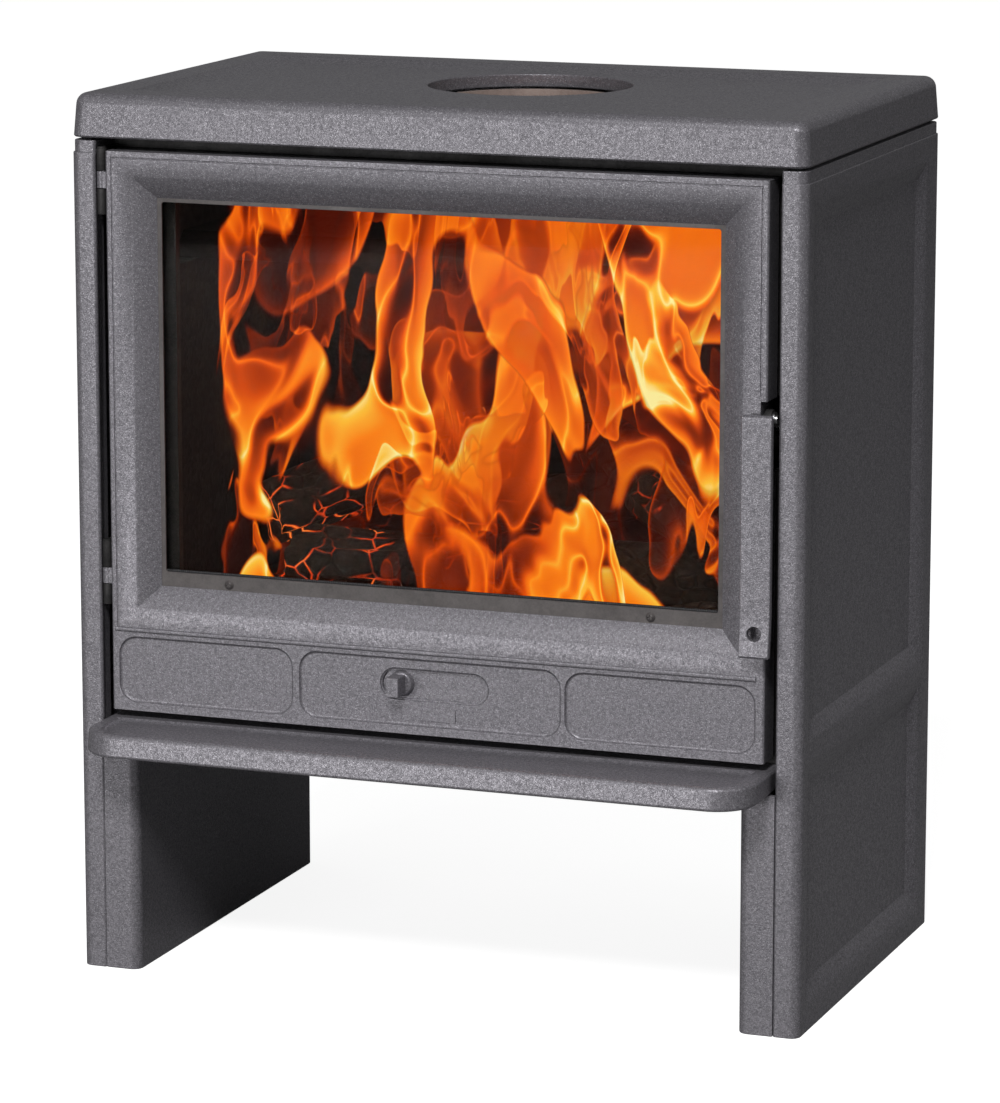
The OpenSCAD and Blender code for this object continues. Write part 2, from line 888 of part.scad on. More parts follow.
module latch_hook() color(iron) {
    d1 = -lever_out + lever_t;
    r = roller_r + 0.5;
    tooth = roller[0] + r + 1;
    difference() {
        along_x(hook_x) union() {
            translate(pivot) circle(8);
            polygon([
                [d1, pivot[1] + 2], [d1, pivot[1] - 26], [roller[0] - 12, roller[1] - r - hook_bar],
                [tooth + 6, roller[1] - r - hook_bar], [tooth + 6, roller[1] + 1],
                [tooth, roller[1] + 1], [tooth, roller[1] - r], [pivot[0] + 8, roller[1] - r],
                [pivot[0] + 8, pivot[1]], [pivot[0], pivot[1] + 2]
            ]);
        }
        rod_x([hook_x[0] - 1, hook_x[1] + 1], pivot, pivot_r);
    }
}

module latch_pin() color(steel) {
    rod_x([lever_x[0] - 4, 295], pivot, pivot_r);
    rod_x([hook_x[1], hook_x[1] + 2], pivot, pivot_r + 2);
}

catch_x = [292.6, 297.4];

module latch_catch() color(iron) {
    difference() {
        block(catch_x, [20, frame_d0], [486, 514]);
        rod_x([catch_x[0] - 1, catch_x[1] + 1], roller, roller_r - 1);
    }
}

module latch_roller() color(steel) {
    rod_x([hook_x[0] - 1, catch_x[0]], roller, roller_r);
    rod_x(catch_x, roller, roller_r - 1);
}

// ---- Choice of node --------------------------------------------------------------------

top_plate();
lid_pads();
left_side_panel();
right_side_panel();
left_leg_liner();
right_leg_liner();
front_shelf();
base_plate();
bottom_heat_shield();
front_frame();
firebox_left_wall();
firebox_right_wall();
firebox_back();
firebox_roof();
firebox_floor();
flue_collar();
flue_collar_bolts();
left_fire_brick();
right_fire_brick();
back_fire_brick();
baffle_plate();
air_wash_duct();
log_guard();
grate();
ash_pit();
ash_pan();
panel_spacers();
rear_tie_rods();
rear_heat_shield();
rear_shield_spacers();
rear_shield_screws();
upper_hinge_bracket();
lower_hinge_bracket();
upper_hinge_pin();
lower_hinge_pin();
latch_catch();
latch_roller();
door_frame();
door_glass();
glass_gasket();
glass_retainer();
glass_screws();
glass_clips();
glass_clip_screws();
door_gasket();
air_slide_guides();
air_chamber_cover();
air_slide();
air_knob();
door_handle();
latch_hook();
latch_pin();
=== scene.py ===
"""Looks for a free-standing cast-iron wood burning stove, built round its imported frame.

Every size is in metres in the stove's own frame: X to its right, Y to its back, Z up.
"""

from __future__ import annotations

import logging
import math
from collections.abc import Callable, Iterable, Sequence
from dataclasses import dataclass, field
from enum import Enum

import bmesh
import bpy
from mathutils import Matrix, Vector, noise


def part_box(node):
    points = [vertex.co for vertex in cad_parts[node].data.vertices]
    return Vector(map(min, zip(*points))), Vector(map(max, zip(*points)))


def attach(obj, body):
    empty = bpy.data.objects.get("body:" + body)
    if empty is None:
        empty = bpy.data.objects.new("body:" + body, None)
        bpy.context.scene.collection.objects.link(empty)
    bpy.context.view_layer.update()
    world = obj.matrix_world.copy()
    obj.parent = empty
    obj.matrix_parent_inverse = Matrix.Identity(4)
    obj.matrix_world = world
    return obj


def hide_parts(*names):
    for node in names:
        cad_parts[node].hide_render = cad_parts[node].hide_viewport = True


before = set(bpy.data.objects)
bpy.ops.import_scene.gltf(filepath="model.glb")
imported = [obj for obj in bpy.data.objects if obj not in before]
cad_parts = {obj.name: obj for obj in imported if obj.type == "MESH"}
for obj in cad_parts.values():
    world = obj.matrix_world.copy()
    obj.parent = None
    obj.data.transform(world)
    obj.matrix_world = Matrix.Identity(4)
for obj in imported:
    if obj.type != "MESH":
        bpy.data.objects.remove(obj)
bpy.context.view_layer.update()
LOG = logging.getLogger("stove")
MM = 0.001

Point = tuple[float, float, float]
Colour = tuple[float, float, float, float]
EdgeTest = Callable[[bmesh.types.BMEdge], bool]


class Body(Enum):
    """The moving bodies of the frame."""

    STOVE = "stove_body"
    DOOR = "door"
    AIR = "air_control"
    LATCH = "latch"


class Slot(Enum):
    """The material slots of the record."""

    PAINT = "grey_paint"
    IRON = "bare_iron"
    SHEET = "sheet_steel"
    BRIGHT = "bright_steel"
    BRICK = "fire_brick"
    ROPE = "rope_seal"
    GLASS = "ceramic_glass"
    TRIM = "dark_trim"


def rgb(red: int, green: int, blue: int) -> Colour:
    """A colour from display values between 0 and 255.

    Args:
        red: The red value.
        green: The green value.
        blue: The blue value.

    Returns:
        The same colour in linear light, with full alpha.
    """
    parts = [v / 255.0 for v in (red, green, blue)]
    linear = [v / 12.92 if v <= 0.04045 else ((v + 0.055) / 1.055) ** 2.4 for v in parts]
    return (linear[0], linear[1], linear[2], 1.0)


# ---- Shapes ----------------------------------------------------------------------------


def runs_along(edge: bmesh.types.BMEdge, axis: int, share: float = 0.9) -> bool:
    """Whether an edge runs mostly along an axis."""
    way = edge.verts[1].co - edge.verts[0].co
    return abs(way[axis]) > share * way.length


def lies_at(edge: bmesh.types.BMEdge, axis: int, value: float) -> bool:
    """Whether both ends of an edge have one coordinate at a value."""
    return all(abs(v.co[axis] - value) < 1e-5 for v in edge.verts)


class Shape:
    """A mesh being modelled with bmesh operators."""

    def __init__(self) -> None:
        """Starts with nothing in it."""
        self.bm = bmesh.new()

    @classmethod
    def box(cls, low: Sequence[float], high: Sequence[float]) -> "Shape":
        """A box between two corners.

        Args:
            low: The lowest corner.
            high: The highest corner.

        Returns:
            The new shape.
        """
        made = cls()
        low_v, high_v = Vector(low), Vector(high)
        place = Matrix.LocRotScale((low_v + high_v) / 2, None, high_v - low_v)
        bmesh.ops.create_cube(made.bm, size=1.0, matrix=place)
        bmesh.ops.recalc_face_normals(made.bm, faces=made.bm.faces)
        return made

    @classmethod
    def frustum(
        cls, low: Sequence[float], high: Sequence[float], axis: int, grow: float, at_high: bool = True
    ) -> "Shape":
        """A box whose one end is larger than the other.

        Args:
            low: The lowest corner.
            high: The highest corner.
            axis: The axis that the ends face along.
            grow: How far each side of the large end stands out.
            at_high: Whether the large end is the one with the higher coordinate.

        Returns:
            The new shape.
        """
        made = cls.box(low, high)
        end = high[axis] if at_high else low[axis]
        middle = (Vector(low) + Vector(high)) / 2
        for vert in made.bm.verts:
            if abs(vert.co[axis] - end) < 1e-6:
                for other in {0, 1, 2} - {axis}:
                    vert.co[other] += math.copysign(grow, vert.co[other] - middle[other])
        return made

    @classmethod
    def prism(cls, outline: Sequence[tuple[float, float]], axis: int, low: float, high: float) -> "Shape":
        """An outline extruded along an axis.

        Args:
            outline: Points in the other two axes, in their order.
            axis: The axis to extrude along.
            low: Where the prism starts.
            high: Where the prism ends.

        Returns:
            The new shape.
        """
        made = cls()
        others = sorted({0, 1, 2} - {axis})
        verts = []
        for first, second in outline:
            co = Vector((0.0, 0.0, 0.0))
            co[axis], co[others[0]], co[others[1]] = low, first, second
            verts.append(made.bm.verts.new(co))
        face = made.bm.faces.new(verts)
        grown = bmesh.ops.extrude_face_region(made.bm, geom=[face])
        shift = Vector((0.0, 0.0, 0.0))
        shift[axis] = high - low
        new = [g for g in grown["geom"] if isinstance(g, bmesh.types.BMVert)]
        bmesh.ops.translate(made.bm, verts=new, vec=shift)
        bmesh.ops.recalc_face_normals(made.bm, faces=made.bm.faces)
        return made

    @classmethod
    def rod(
        cls,
        start: Sequence[float],
        axis: int,
        length: float,
        radius: float,
        end_radius: float | None = None,
        sides: int = 32,
    ) -> "Shape":
        """A round rod or cone along an axis.

        Args:
            start: The middle of its lower end.
            axis: The axis that it runs along.
            length: Its length.
            radius: Its radius at the start.
            end_radius: Its radius at the end, where that differs.
            sides: How many sides it has.

        Returns:
            The new shape.
        """
        made = cls()
        turn = {
            0: Matrix.Rotation(math.pi / 2, 4, "Y"),
            1: Matrix.Rotation(-math.pi / 2, 4, "X"),
            2: Matrix.Identity(4),
        }[axis]
        middle = Vector(start)
        middle[axis] += length / 2
        bmesh.ops.create_cone(
            made.bm,
            cap_ends=True,
            segments=sides,
            radius1=radius,
            radius2=radius if end_radius is None else end_radius,
            depth=length,
            matrix=Matrix.Translation(middle) @ turn,
        )
        bmesh.ops.recalc_face_normals(made.bm, faces=made.bm.faces)
        return made

    def bevel(self, test: EdgeTest, width: float, segments: int = 3) -> "Shape":
        """Rounds the edges that pass a test.

        Args:
            test: Says whether an edge is rounded.
            width: How far the rounding reaches on each side.
            segments: How many strips it has.

        Returns:
            This shape.
        """
        edges = [e for e in self.bm.edges if test(e)]
        bmesh.ops.bevel(
            self.bm,
            geom=edges,
            offset=width,
            offset_type="OFFSET",
            affect="EDGES",
            segments=segments,
            profile=0.5,
            material=-1,
            clamp_overlap=True,
        )
        return self

    def add(self, other: "Shape") -> "Shape":
        """Puts another shape's mesh into this one and frees it.

        Args:
            other: The shape that is used up.

        Returns:
            This shape.
        """
        carrier = bpy.data.meshes.new("carrier")
        other.bm.to_mesh(carrier)
        other.bm.free()
        self.bm.from_mesh(carrier)
        bpy.data.meshes.remove(carrier)
        return self

    def mirrored(self) -> "Shape":
        """Turns the shape into its mirror image across the stove's middle.

        Returns:
            This shape.
        """
        bmesh.ops.scale(self.bm, vec=(-1.0, 1.0, 1.0), verts=self.bm.verts)
        bmesh.ops.remove_doubles(self.bm, verts=self.bm.verts, dist=1e-7)
        bmesh.ops.recalc_face_normals(self.bm, faces=self.bm.faces)
        return self

    def to_object(self, name: str) -> bpy.types.Object:
        """Ends the modelling.

        Args:
            name: The piece's name.

        Returns:
            A new object at the origin that holds the mesh.
        """
        mesh = bpy.data.meshes.new(name)
        self.bm.to_mesh(mesh)
        self.bm.free()
        piece = bpy.data.objects.new(name, mesh)
        bpy.context.scene.collection.objects.link(piece)
        return piece


class Cut(Enum):
    """What a tool shape does to the piece it meets."""

    TAKE = "DIFFERENCE"
    JOIN = "UNION"


def work(piece: bpy.types.Object, tools: Iterable[Shape], how: Cut = Cut.TAKE) -> bpy.types.Object:
    """Takes tool shapes away from a piece, or joins them to it.

    Args:
        piece: The piece that is worked.
        tools: The shapes that it meets, one after another.
        how: Whether they are taken away or joined.

    Returns:
        The same piece with its new mesh.
    """
    spent = []
    for tool in tools:
        cutter = tool.to_object("tool")
        step = piece.modifiers.new("step", "BOOLEAN")
        step.operation, step.solver, step.object = how.value, "EXACT", cutter
        spent.append(cutter)
    bpy.context.view_layer.update()
    result = piece.evaluated_get(bpy.context.evaluated_depsgraph_get())
    mesh = bpy.data.meshes.new_from_object(result)
    piece.modifiers.clear()
    old, piece.data = piece.data, mesh
    mesh.name = piece.name
    bpy.data.meshes.remove(old)
    for cutter in spent:
        bpy.data.meshes.remove(cutter.data)
    bm = bmesh.new()
    bm.from_mesh(mesh)
    bmesh.ops.remove_doubles(bm, verts=bm.verts, dist=2e-6)
    bmesh.ops.dissolve_limit(bm, angle_limit=math.radians(0.4), verts=bm.verts, edges=bm.edges)
    bm.to_mesh(mesh)
    bm.free()
    return piece


def round_corners(
    piece: bpy.types.Object, width: float, segments: int, angle: float
) -> bpy.types.Object:
    """Rounds every edge of a piece that is sharper than an angle.

    Args:
        piece: The piece.
        width: How far the rounding reaches.
        segments: How many strips it has.
        angle: The least angle, in degrees, of an edge that is rounded.

    Returns:
        The same piece.
    """
    bm = bmesh.new()
    bm.from_mesh(piece.data)
    least = math.radians(angle)
    sharp = [e for e in bm.edges if e.is_manifold and e.calc_face_angle(0.0) > least]
    bmesh.ops.bevel(
        bm,
        geom=sharp,
        offset=width,
        offset_type="OFFSET",
        affect="EDGES",
        segments=segments,
        profile=0.5,
        material=-1,
        clamp_overlap=False,
    )
    bm.to_mesh(piece.data)
    bm.free()
    return piece


def soften(
    piece: bpy.types.Object, width: float, segments: int = 2, angle: float = 30.0
) -> bpy.types.Object:
    """Gives a piece live rounded edges and even shading.

    Args:
        piece: The piece to finish.
        width: How far the rounding reaches, or 0 for none.
        segments: How many strips it has.
        angle: The least angle, in degrees, of an edge that is rounded.

    Returns:
        The same piece.
    """
    for face in piece.data.polygons:
        face.use_smooth = True
    if width:
        edge = piece.modifiers.new("edges", "BEVEL")
        edge.width, edge.segments, edge.limit_method = width, segments, "ANGLE"
        edge.angle_limit = math.radians(angle)
        edge.use_clamp_overlap = False
    else:
        piece.data.set_sharp_from_angle(angle=math.radians(angle))
    shade = piece.modifiers.new("shading", "WEIGHTED_NORMAL")
    shade.keep_sharp = True
    shade.mode = "FACE_AREA"
    return piece


def hollow_tool(
    low: Sequence[float],
    high: Sequence[float],
    axis: int,
    inward: int,
    profile: Sequence[tuple[float, float]],
) -> Shape:
    """A tool whose one end narrows along a profile, step by step.

    Args:
        low: The lowest corner of its full-size end.
        high: The highest corner of its full-size end.
        axis: The axis that it narrows along.
        inward: 1 where it narrows towards higher coordinates, and -1 otherwise.
        profile: The distance in from the outline and the depth after each step.

    Returns:
        The tool shape.
    """
    tool = Shape.box(low, high)
    end = max(tool.bm.faces, key=lambda f: inward * f.calc_center_median()[axis])
    before = (0.0, 0.0)
    for here in profile:
        bmesh.ops.inset_region(
            tool.bm,
            faces=[end],
            thickness=here[0] - before[0],
            depth=here[1] - before[1],
            use_even_offset=True,
            use_boundary=True,
        )
        before = here
    return tool


def settle(
    piece: bpy.types.Object,
    material: bpy.types.Material,
    body: Body,
    slot: Slot,
    *nodes: str,
) -> bpy.types.Object:
    """Dresses a finished piece and ties it to the frame.

    Args:
        piece: The piece.
        material: Its material.
        body: The body that it moves with.
        slot: Not used.
        *nodes: The nodes that it stands for.

    Returns:
        The same piece.
    """
    piece.data.materials.clear()
    piece.data.materials.append(material)
    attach(piece, body.value)
    if nodes:
        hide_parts(*nodes)
    LOG.info("built %s for %s", piece.name, ", ".join(nodes) or "looks alone")
    return piece


# ---- Materials -------------------------------------------------------------------------


class Graph:
    """A short way to write shader nodes."""

    def __init__(self, tree: bpy.types.NodeTree) -> None:
        """Keeps the tree that the nodes go into."""
        self.tree = tree

    def node(self, kind: str, **settings: object) -> bpy.types.Node:
        """Adds a node and sets its plain properties.

        Args:
            kind: The node's type.
            **settings: The properties and their values.

        Returns:
            The node.
        """
        made = self.tree.nodes.new(kind)
        for key, value in settings.items():
            setattr(made, key, value)
        return made

    def put(self, socket: bpy.types.NodeSocket, value: object) -> None:
        """Feeds an input socket.

        Args:
            socket: The input.
            value: A socket, which is linked, or a plain value, which is set.
        """
        if isinstance(value, bpy.types.NodeSocket):
            self.tree.links.new(value, socket)
        else:
            socket.default_value = value

    def math(
        self, operation: str, first: object, second: object = 0.0, clamp: bool = False
    ) -> bpy.types.NodeSocket:
        """One step of arithmetic.

        Args:
            operation: The name of the Math node's operation.
            first: Its first number or socket.
            second: Its second number or socket.
            clamp: Whether the result stays between 0 and 1.

        Returns:
            The result's socket.
        """
        made = self.node("ShaderNodeMath", operation=operation, use_clamp=clamp)
        self.put(made.inputs[0], first)
        self.put(made.inputs[1], second)
        return made.outputs[0]

    def vector(self, operation: str, first: object, second: object) -> bpy.types.NodeSocket:
        """One step of vector arithmetic.

        Args:
            operation: The name of the Vector Math node's operation.
            first: Its first vector or socket.
            second: Its second vector or socket.

        Returns:
            The result's socket.
        """
        made = self.node("ShaderNodeVectorMath", operation=operation)
        self.put(made.inputs[0], first)
        self.put(made.inputs[1], second)
        return made.outputs[0]

    def noise(
        self, where: object, scale: object, detail: float = 3.0, rough: float = 0.55, twist: float = 0.0
    ) -> bpy.types.Node:
        """A noise texture.

        Args:
            where: The socket of its coordinates.
            scale: How many features there are to the metre.
            detail: How many octaves it has.
            rough: How strong the finer octaves are.
            twist: Its own distortion.

        Returns:
            The node.
        """
        made = self.node("ShaderNodeTexNoise")
        self.put(made.inputs["Vector"], where)
        self.put(made.inputs["Scale"], scale)
        self.put(made.inputs["Detail"], detail)
        self.put(made.inputs["Roughness"], rough)
        self.put(made.inputs["Distortion"], twist)
        return made

    def cells(self, where: object, scale: object, feature: str = "F1") -> bpy.types.Node:
        """A Voronoi texture of one feature.

        Args:
            where: The socket of its coordinates.
            scale: How many cells there are to the metre.
            feature: The name of the feature.

        Returns:
            The node.
        """
        made = self.node("ShaderNodeTexVoronoi", feature=feature)
        self.put(made.inputs["Vector"], where)
        self.put(made.inputs["Scale"], scale)
        return made

    def range(
        self, value: object, low: float, high: float, to_low: float, to_high: float
    ) -> bpy.types.NodeSocket:
        """Maps a value from one range to another, held at both ends.

        Args:
            value: The socket to map.
            low: The start of the old range.
            high: The end of the old range.
            to_low: The start of the new range.
            to_high: The end of the new range.

        Returns:
            The result's socket.
        """
        made = self.node("ShaderNodeMapRange", clamp=True, interpolation_type="SMOOTHSTEP")
        for index, number in enumerate((value, low, high, to_low, to_high)):
            self.put(made.inputs[index], number)
        return made.outputs[0]

    def mix(self, share: object, first: object, second: object, blend: str = "MIX") -> bpy.types.NodeSocket:
        """Mixes two colours.

        Args:
            share: How much of the second is taken.
            first: The first colour or socket.
            second: The second colour or socket.
            blend: The name of the blend type.

        Returns:
            The result's socket.
        """
        made = self.node("ShaderNodeMix", data_type="RGBA", blend_type=blend, clamp_factor=True)
        self.put(made.inputs[0], share)
        self.put(made.inputs[6], first)
        self.put(made.inputs[7], second)
        return made.outputs[2]

    def ramp(self, value: object, stops: Sequence[tuple[float, Colour]]) -> bpy.types.NodeSocket:
        """A colour ramp.

        Args:
            value: The socket that runs along it.
            stops: Each stop's place and colour.

        Returns:
            The colour's socket.
        """
        made = self.node("ShaderNodeValToRGB")
        band = made.color_ramp
        while len(band.elements) < len(stops):
            band.elements.new(0.5)
        for element, (place, colour) in zip(band.elements, stops):
            element.position, element.color = place, colour
        self.put(made.inputs[0], value)
        return made.outputs[0]

    def bump(self, height: object, distance: float, strength: float) -> bpy.types.NodeSocket:
        """A bump normal.

        Args:
            height: The socket of a height between 0 and 1.
            distance: How deep a height of 1 is, in metres.
            strength: How much of it shows.

        Returns:
            The normal's socket.
        """
        made = self.node("ShaderNodeBump")
        self.put(made.inputs["Height"], height)
        made.inputs["Distance"].default_value = distance
        made.inputs["Strength"].default_value = strength
        return made.outputs[0]

    def group(self, tree: bpy.types.NodeTree, **inputs: object) -> bpy.types.Node:
        """Places a shared effect with its own values.

        Args:
            tree: The effect.
            **inputs: Its inputs' values, with underscores for the spaces in their names.

        Returns:
            The node.
        """
        made = self.node("ShaderNodeGroup", node_tree=tree)
        for key, value in inputs.items():
            self.put(made.inputs[key.replace("_", " ")], value)
        return made


def new_effect(
    name: str, inputs: Sequence[tuple[str, str, object]], outputs: Sequence[tuple[str, str]]
) -> tuple[Graph, bpy.types.Node, bpy.types.Node]:
    """Starts a shared shader effect.

    Args:
        name: The effect's name.
        inputs: Each input's name, kind of socket and usual value.
        outputs: Each output's name and kind of socket.

    Returns:
        Its graph, its input node and its output node.
    """
    tree = bpy.data.node_groups.new(name, "ShaderNodeTree")
    for label, kind, value in inputs:
        socket = tree.interface.new_socket(label, in_out="INPUT", socket_type=kind)
        if value is not None:
            socket.default_value = value
    for label, kind in outputs:
        tree.interface.new_socket(label, in_out="OUTPUT", socket_type=kind)
    graph = Graph(tree)
    return graph, graph.node("NodeGroupInput"), graph.node("NodeGroupOutput")


@dataclass
class Effects:
    """The shader effects that several materials share."""

    grain: bpy.types.NodeTree = field(init=False)
    wear_and_highlight: bpy.types.NodeTree = field(init=False)
    stain: bpy.types.NodeTree = field(init=False)

    def __post_init__(self) -> None:
        """Builds each effect once."""
        self.grain = self._build_grain()
        self.wear_and_highlight = self._build_wear_and_highlight()
        self.stain = self._build_stain()

    def _build_grain(self) -> bpy.types.NodeTree:
        """The grain of sand-cast iron under metallic paint, with bright flakes.

        Returns:
            A group with a shade, a height and a mask of flakes.
        """
        g, given, out = new_effect(
            "sand_grain",
            [("Vector", "NodeSocketVector", None), ("Scale", "NodeSocketFloat", 700.0)],
            [
                ("Shade", "NodeSocketFloat"),
                ("Height", "NodeSocketFloat"),
                ("Flakes", "NodeSocketFloat"),
            ],
        )
        where, scale = given.outputs["Vector"], given.outputs["Scale"]
        fine = g.noise(where, scale, 2.0, 0.7).outputs[0]
        coarse = g.noise(where, g.math("MULTIPLY", scale, 0.37), 2.0, 0.6).outputs[0]
        sand = g.cells(where, g.math("MULTIPLY", scale, 0.8)).outputs["Distance"]
        flake = g.cells(where, g.math("MULTIPLY", scale, 1.6)).outputs["Color"]
        split = g.node("ShaderNodeSeparateColor")
        g.put(split.inputs[0], flake)
        shade = g.math("ADD", g.math("MULTIPLY", fine, 0.6), g.math("MULTIPLY", coarse, 0.4))
        height = g.math("ADD", g.math("MULTIPLY", sand, 0.6), g.math("MULTIPLY", shade, 0.7))
        g.put(out.inputs["Shade"], g.range(shade, 0.32, 0.68, 0.0, 1.0))
        g.put(out.inputs["Height"], height)
        g.put(out.inputs["Flakes"], g.range(split.outputs[0], 0.86, 0.98, 0.0, 1.0))
        return g.tree

    def _build_wear_and_highlight(self) -> bpy.types.NodeTree:
        """Where handling and thin paint show along the edges, and where a painted highlight lightens sharp
        convex edges.

        Returns:
            A group with one mask.
        """
        g, given, out = new_effect(
            "edge_wear_and_highlight",
            [("Vector", "NodeSocketVector", None), ("Scale", "NodeSocketFloat", 60.0)],
            [("Mask", "NodeSocketFloat")],
        )
        edge = g.node("ShaderNodeNewGeometry").outputs["Pointiness"]
        sharp = g.range(edge, 0.515, 0.60, 0.0, 1.0)
        uneven = g.noise(given.outputs["Vector"], given.outputs["Scale"], 4.0).outputs[0]
        patch = g.range(uneven, 0.35, 0.65, 0.25, 1.0)
        g.put(out.inputs["Mask"], g.math("MULTIPLY", sharp, patch, True))
        return g.tree

    def _build_stain(self) -> bpy.types.NodeTree:
        """Soft clouds for soot, heat tint and uneven tone.

        Returns:
            A group with one mask.
        """
        g, given, out = new_effect(
            "clouding",
            [
                ("Vector", "NodeSocketVector", None),
                ("Scale", "NodeSocketFloat", 6.0),
                ("Contrast", "NodeSocketFloat", 1.0),
            ],
            [("Mask", "NodeSocketFloat")],
        )
        cloud = g.noise(given.outputs["Vector"], given.outputs["Scale"], 5.0, 0.6, 0.3).outputs[0]
        centred = g.math("MULTIPLY", g.math("SUBTRACT", cloud, 0.5), given.outputs["Contrast"])
        g.put(out.inputs["Mask"], g.math("ADD", centred, 0.5, True))
        return g.tree


def new_material(name: str) -> tuple[bpy.types.Material, Graph, bpy.types.Node, bpy.types.NodeSocket]:
    """Starts a material.

    Args:
        name: The material's name.

    Returns:
        The material, its graph, its shader and the socket of Object coordinates.
    """
    material = bpy.data.materials.new(name)
    material.use_nodes = True
    material.node_tree.nodes.clear()
    graph = Graph(material.node_tree)
    shader = graph.node("ShaderNodeBsdfPrincipled")
    end = graph.node("ShaderNodeOutputMaterial")
    graph.tree.links.new(shader.outputs[0], end.inputs[0])
    where = graph.node("ShaderNodeTexCoord").outputs["Object"]
    return material, graph, shader, where


@dataclass(frozen=True)
class CastPaint:
    """Metallic heat-resistant paint over sand-cast iron, with painted shade that darkens it towards the top
    and a painted highlight mixed with wear on its sharp edges.
    """

    name: str
    dark: Colour
    light: Colour
    flake: Colour
    metal: float = 0.42
    rough: float = 0.41
    grain: float = 1050.0
    depth: float = 0.0002
    top_shade_height: tuple[float, float] = (0.2, 0.72)
    shade_darkened: float = 0.36
    clouded: float = 0.06
    flaked: float = 0.5
    # The edge mark is partly wear and partly a painted highlight.
    worn: float = 0.1

    def make(self, effects: Effects) -> bpy.types.Material:
        """Builds the material.

        Args:
            effects: The shared effects.

        Returns:
            The material.
        """
        material, g, shader, where = new_material(self.name)
        grain = g.group(effects.grain, Vector=where, Scale=self.grain)
        tone = g.group(effects.stain, Vector=where, Scale=4.0, Contrast=0.9)
        wear_and_highlight = g.group(effects.wear_and_highlight, Vector=where, Scale=90.0)
        base = g.mix(grain.outputs["Shade"], self.dark, self.light)
        part = g.node("ShaderNodeSeparateXYZ")
        g.put(part.inputs[0], where)
        # Painted shade: this share, named heat, darkens the colour towards the stove's top.
        heat = g.range(part.outputs[2], *self.top_shade_height, 0.0, self.shade_darkened)
        cloud = g.range(tone.outputs["Mask"], 0.2, 0.8, 0.0, self.clouded)
        # The cloudy tone and the painted top shade both darken the colour here.
        shade_darkened = g.mix(g.math("ADD", cloud, heat, True), base, self.dark)
        bright = g.mix(g.math("MULTIPLY", grain.outputs["Flakes"], self.flaked), shade_darkened, self.flake)
        # Partly wear and partly painted highlight: sharp edges are lightened towards the flake colour.
        edged = g.mix(g.math("MULTIPLY", wear_and_highlight.outputs["Mask"], self.worn), bright, self.flake)
        g.put(shader.inputs["Base Color"], edged)
        shader.inputs["Metallic"].default_value = self.metal
        g.put(
            shader.inputs["Roughness"],
            g.range(grain.outputs["Shade"], 0.0, 1.0, self.rough + 0.08, self.rough - 0.06),
        )
        shader.inputs["Specular IOR Level"].default_value = 0.4
        g.put(shader.inputs["Normal"], g.bump(grain.outputs["Height"], self.depth, 0.8))
        return material


@dataclass(frozen=True)
class Metal:
    """Bare or coated metal, with a fine surface, stains and worn edges."""

    name: str
    base: Colour
    stained: Colour
    worn: Colour
    metal: float
    rough: float
    grain: float = 900.0
    depth: float = 0.00006
    spread: float = 14.0

    def make(self, effects: Effects) -> bpy.types.Material:
        """Builds the material.

        Args:
            effects: The shared effects.

        Returns:
            The material.
        """
        material, g, shader, where = new_material(self.name)
        grain = g.group(effects.grain, Vector=where, Scale=self.grain)
        stain = g.group(effects.stain, Vector=where, Scale=self.spread, Contrast=2.2)
        wear_and_highlight = g.group(effects.wear_and_highlight, Vector=where, Scale=120.0)
        tone = g.mix(stain.outputs["Mask"], self.base, self.stained)
        speck = g.mix(g.math("MULTIPLY", grain.outputs["Shade"], 0.25), tone, self.worn)
        g.put(
            shader.inputs["Base Color"],
            g.mix(g.math("MULTIPLY", wear_and_highlight.outputs["Mask"], 0.7), speck, self.worn),
        )
        shader.inputs["Metallic"].default_value = self.metal
        g.put(
            shader.inputs["Roughness"],
            g.range(stain.outputs["Mask"], 0.0, 1.0, self.rough - 0.06, self.rough + 0.12),
        )
        g.put(shader.inputs["Normal"], g.bump(grain.outputs["Height"], self.depth, 0.7))
        return material


@dataclass(frozen=True)
class Brick:
    """Vermiculite board: flaky, pitted, and blackened by soot."""

    name: str
    clean: Colour
    flake: Colour
    soot: Colour
    sooty: float

    def make(self, effects: Effects) -> bpy.types.Material:
        """Builds the material.

        Args:
            effects: The shared effects.

        Returns:
            The material.
        """
        material, g, shader, where = new_material(self.name)
        chips = g.cells(where, 240.0)
        split = g.node("ShaderNodeSeparateColor")
        g.put(split.inputs[0], chips.outputs["Color"])
        board = g.mix(split.outputs[0], self.clean, self.flake)
        soot = g.group(effects.stain, Vector=where, Scale=7.0, Contrast=2.0)
        share = g.range(soot.outputs["Mask"], 0.0, 0.7, self.sooty - 0.08, self.sooty)
        g.put(shader.inputs["Base Color"], g.mix(share, board, self.soot))
        g.put(shader.inputs["Roughness"], g.range(split.outputs[1], 0.0, 1.0, 0.8, 0.95))
        g.put(shader.inputs["Normal"], g.bump(chips.outputs["Distance"], 0.0006, 0.6))
        return material


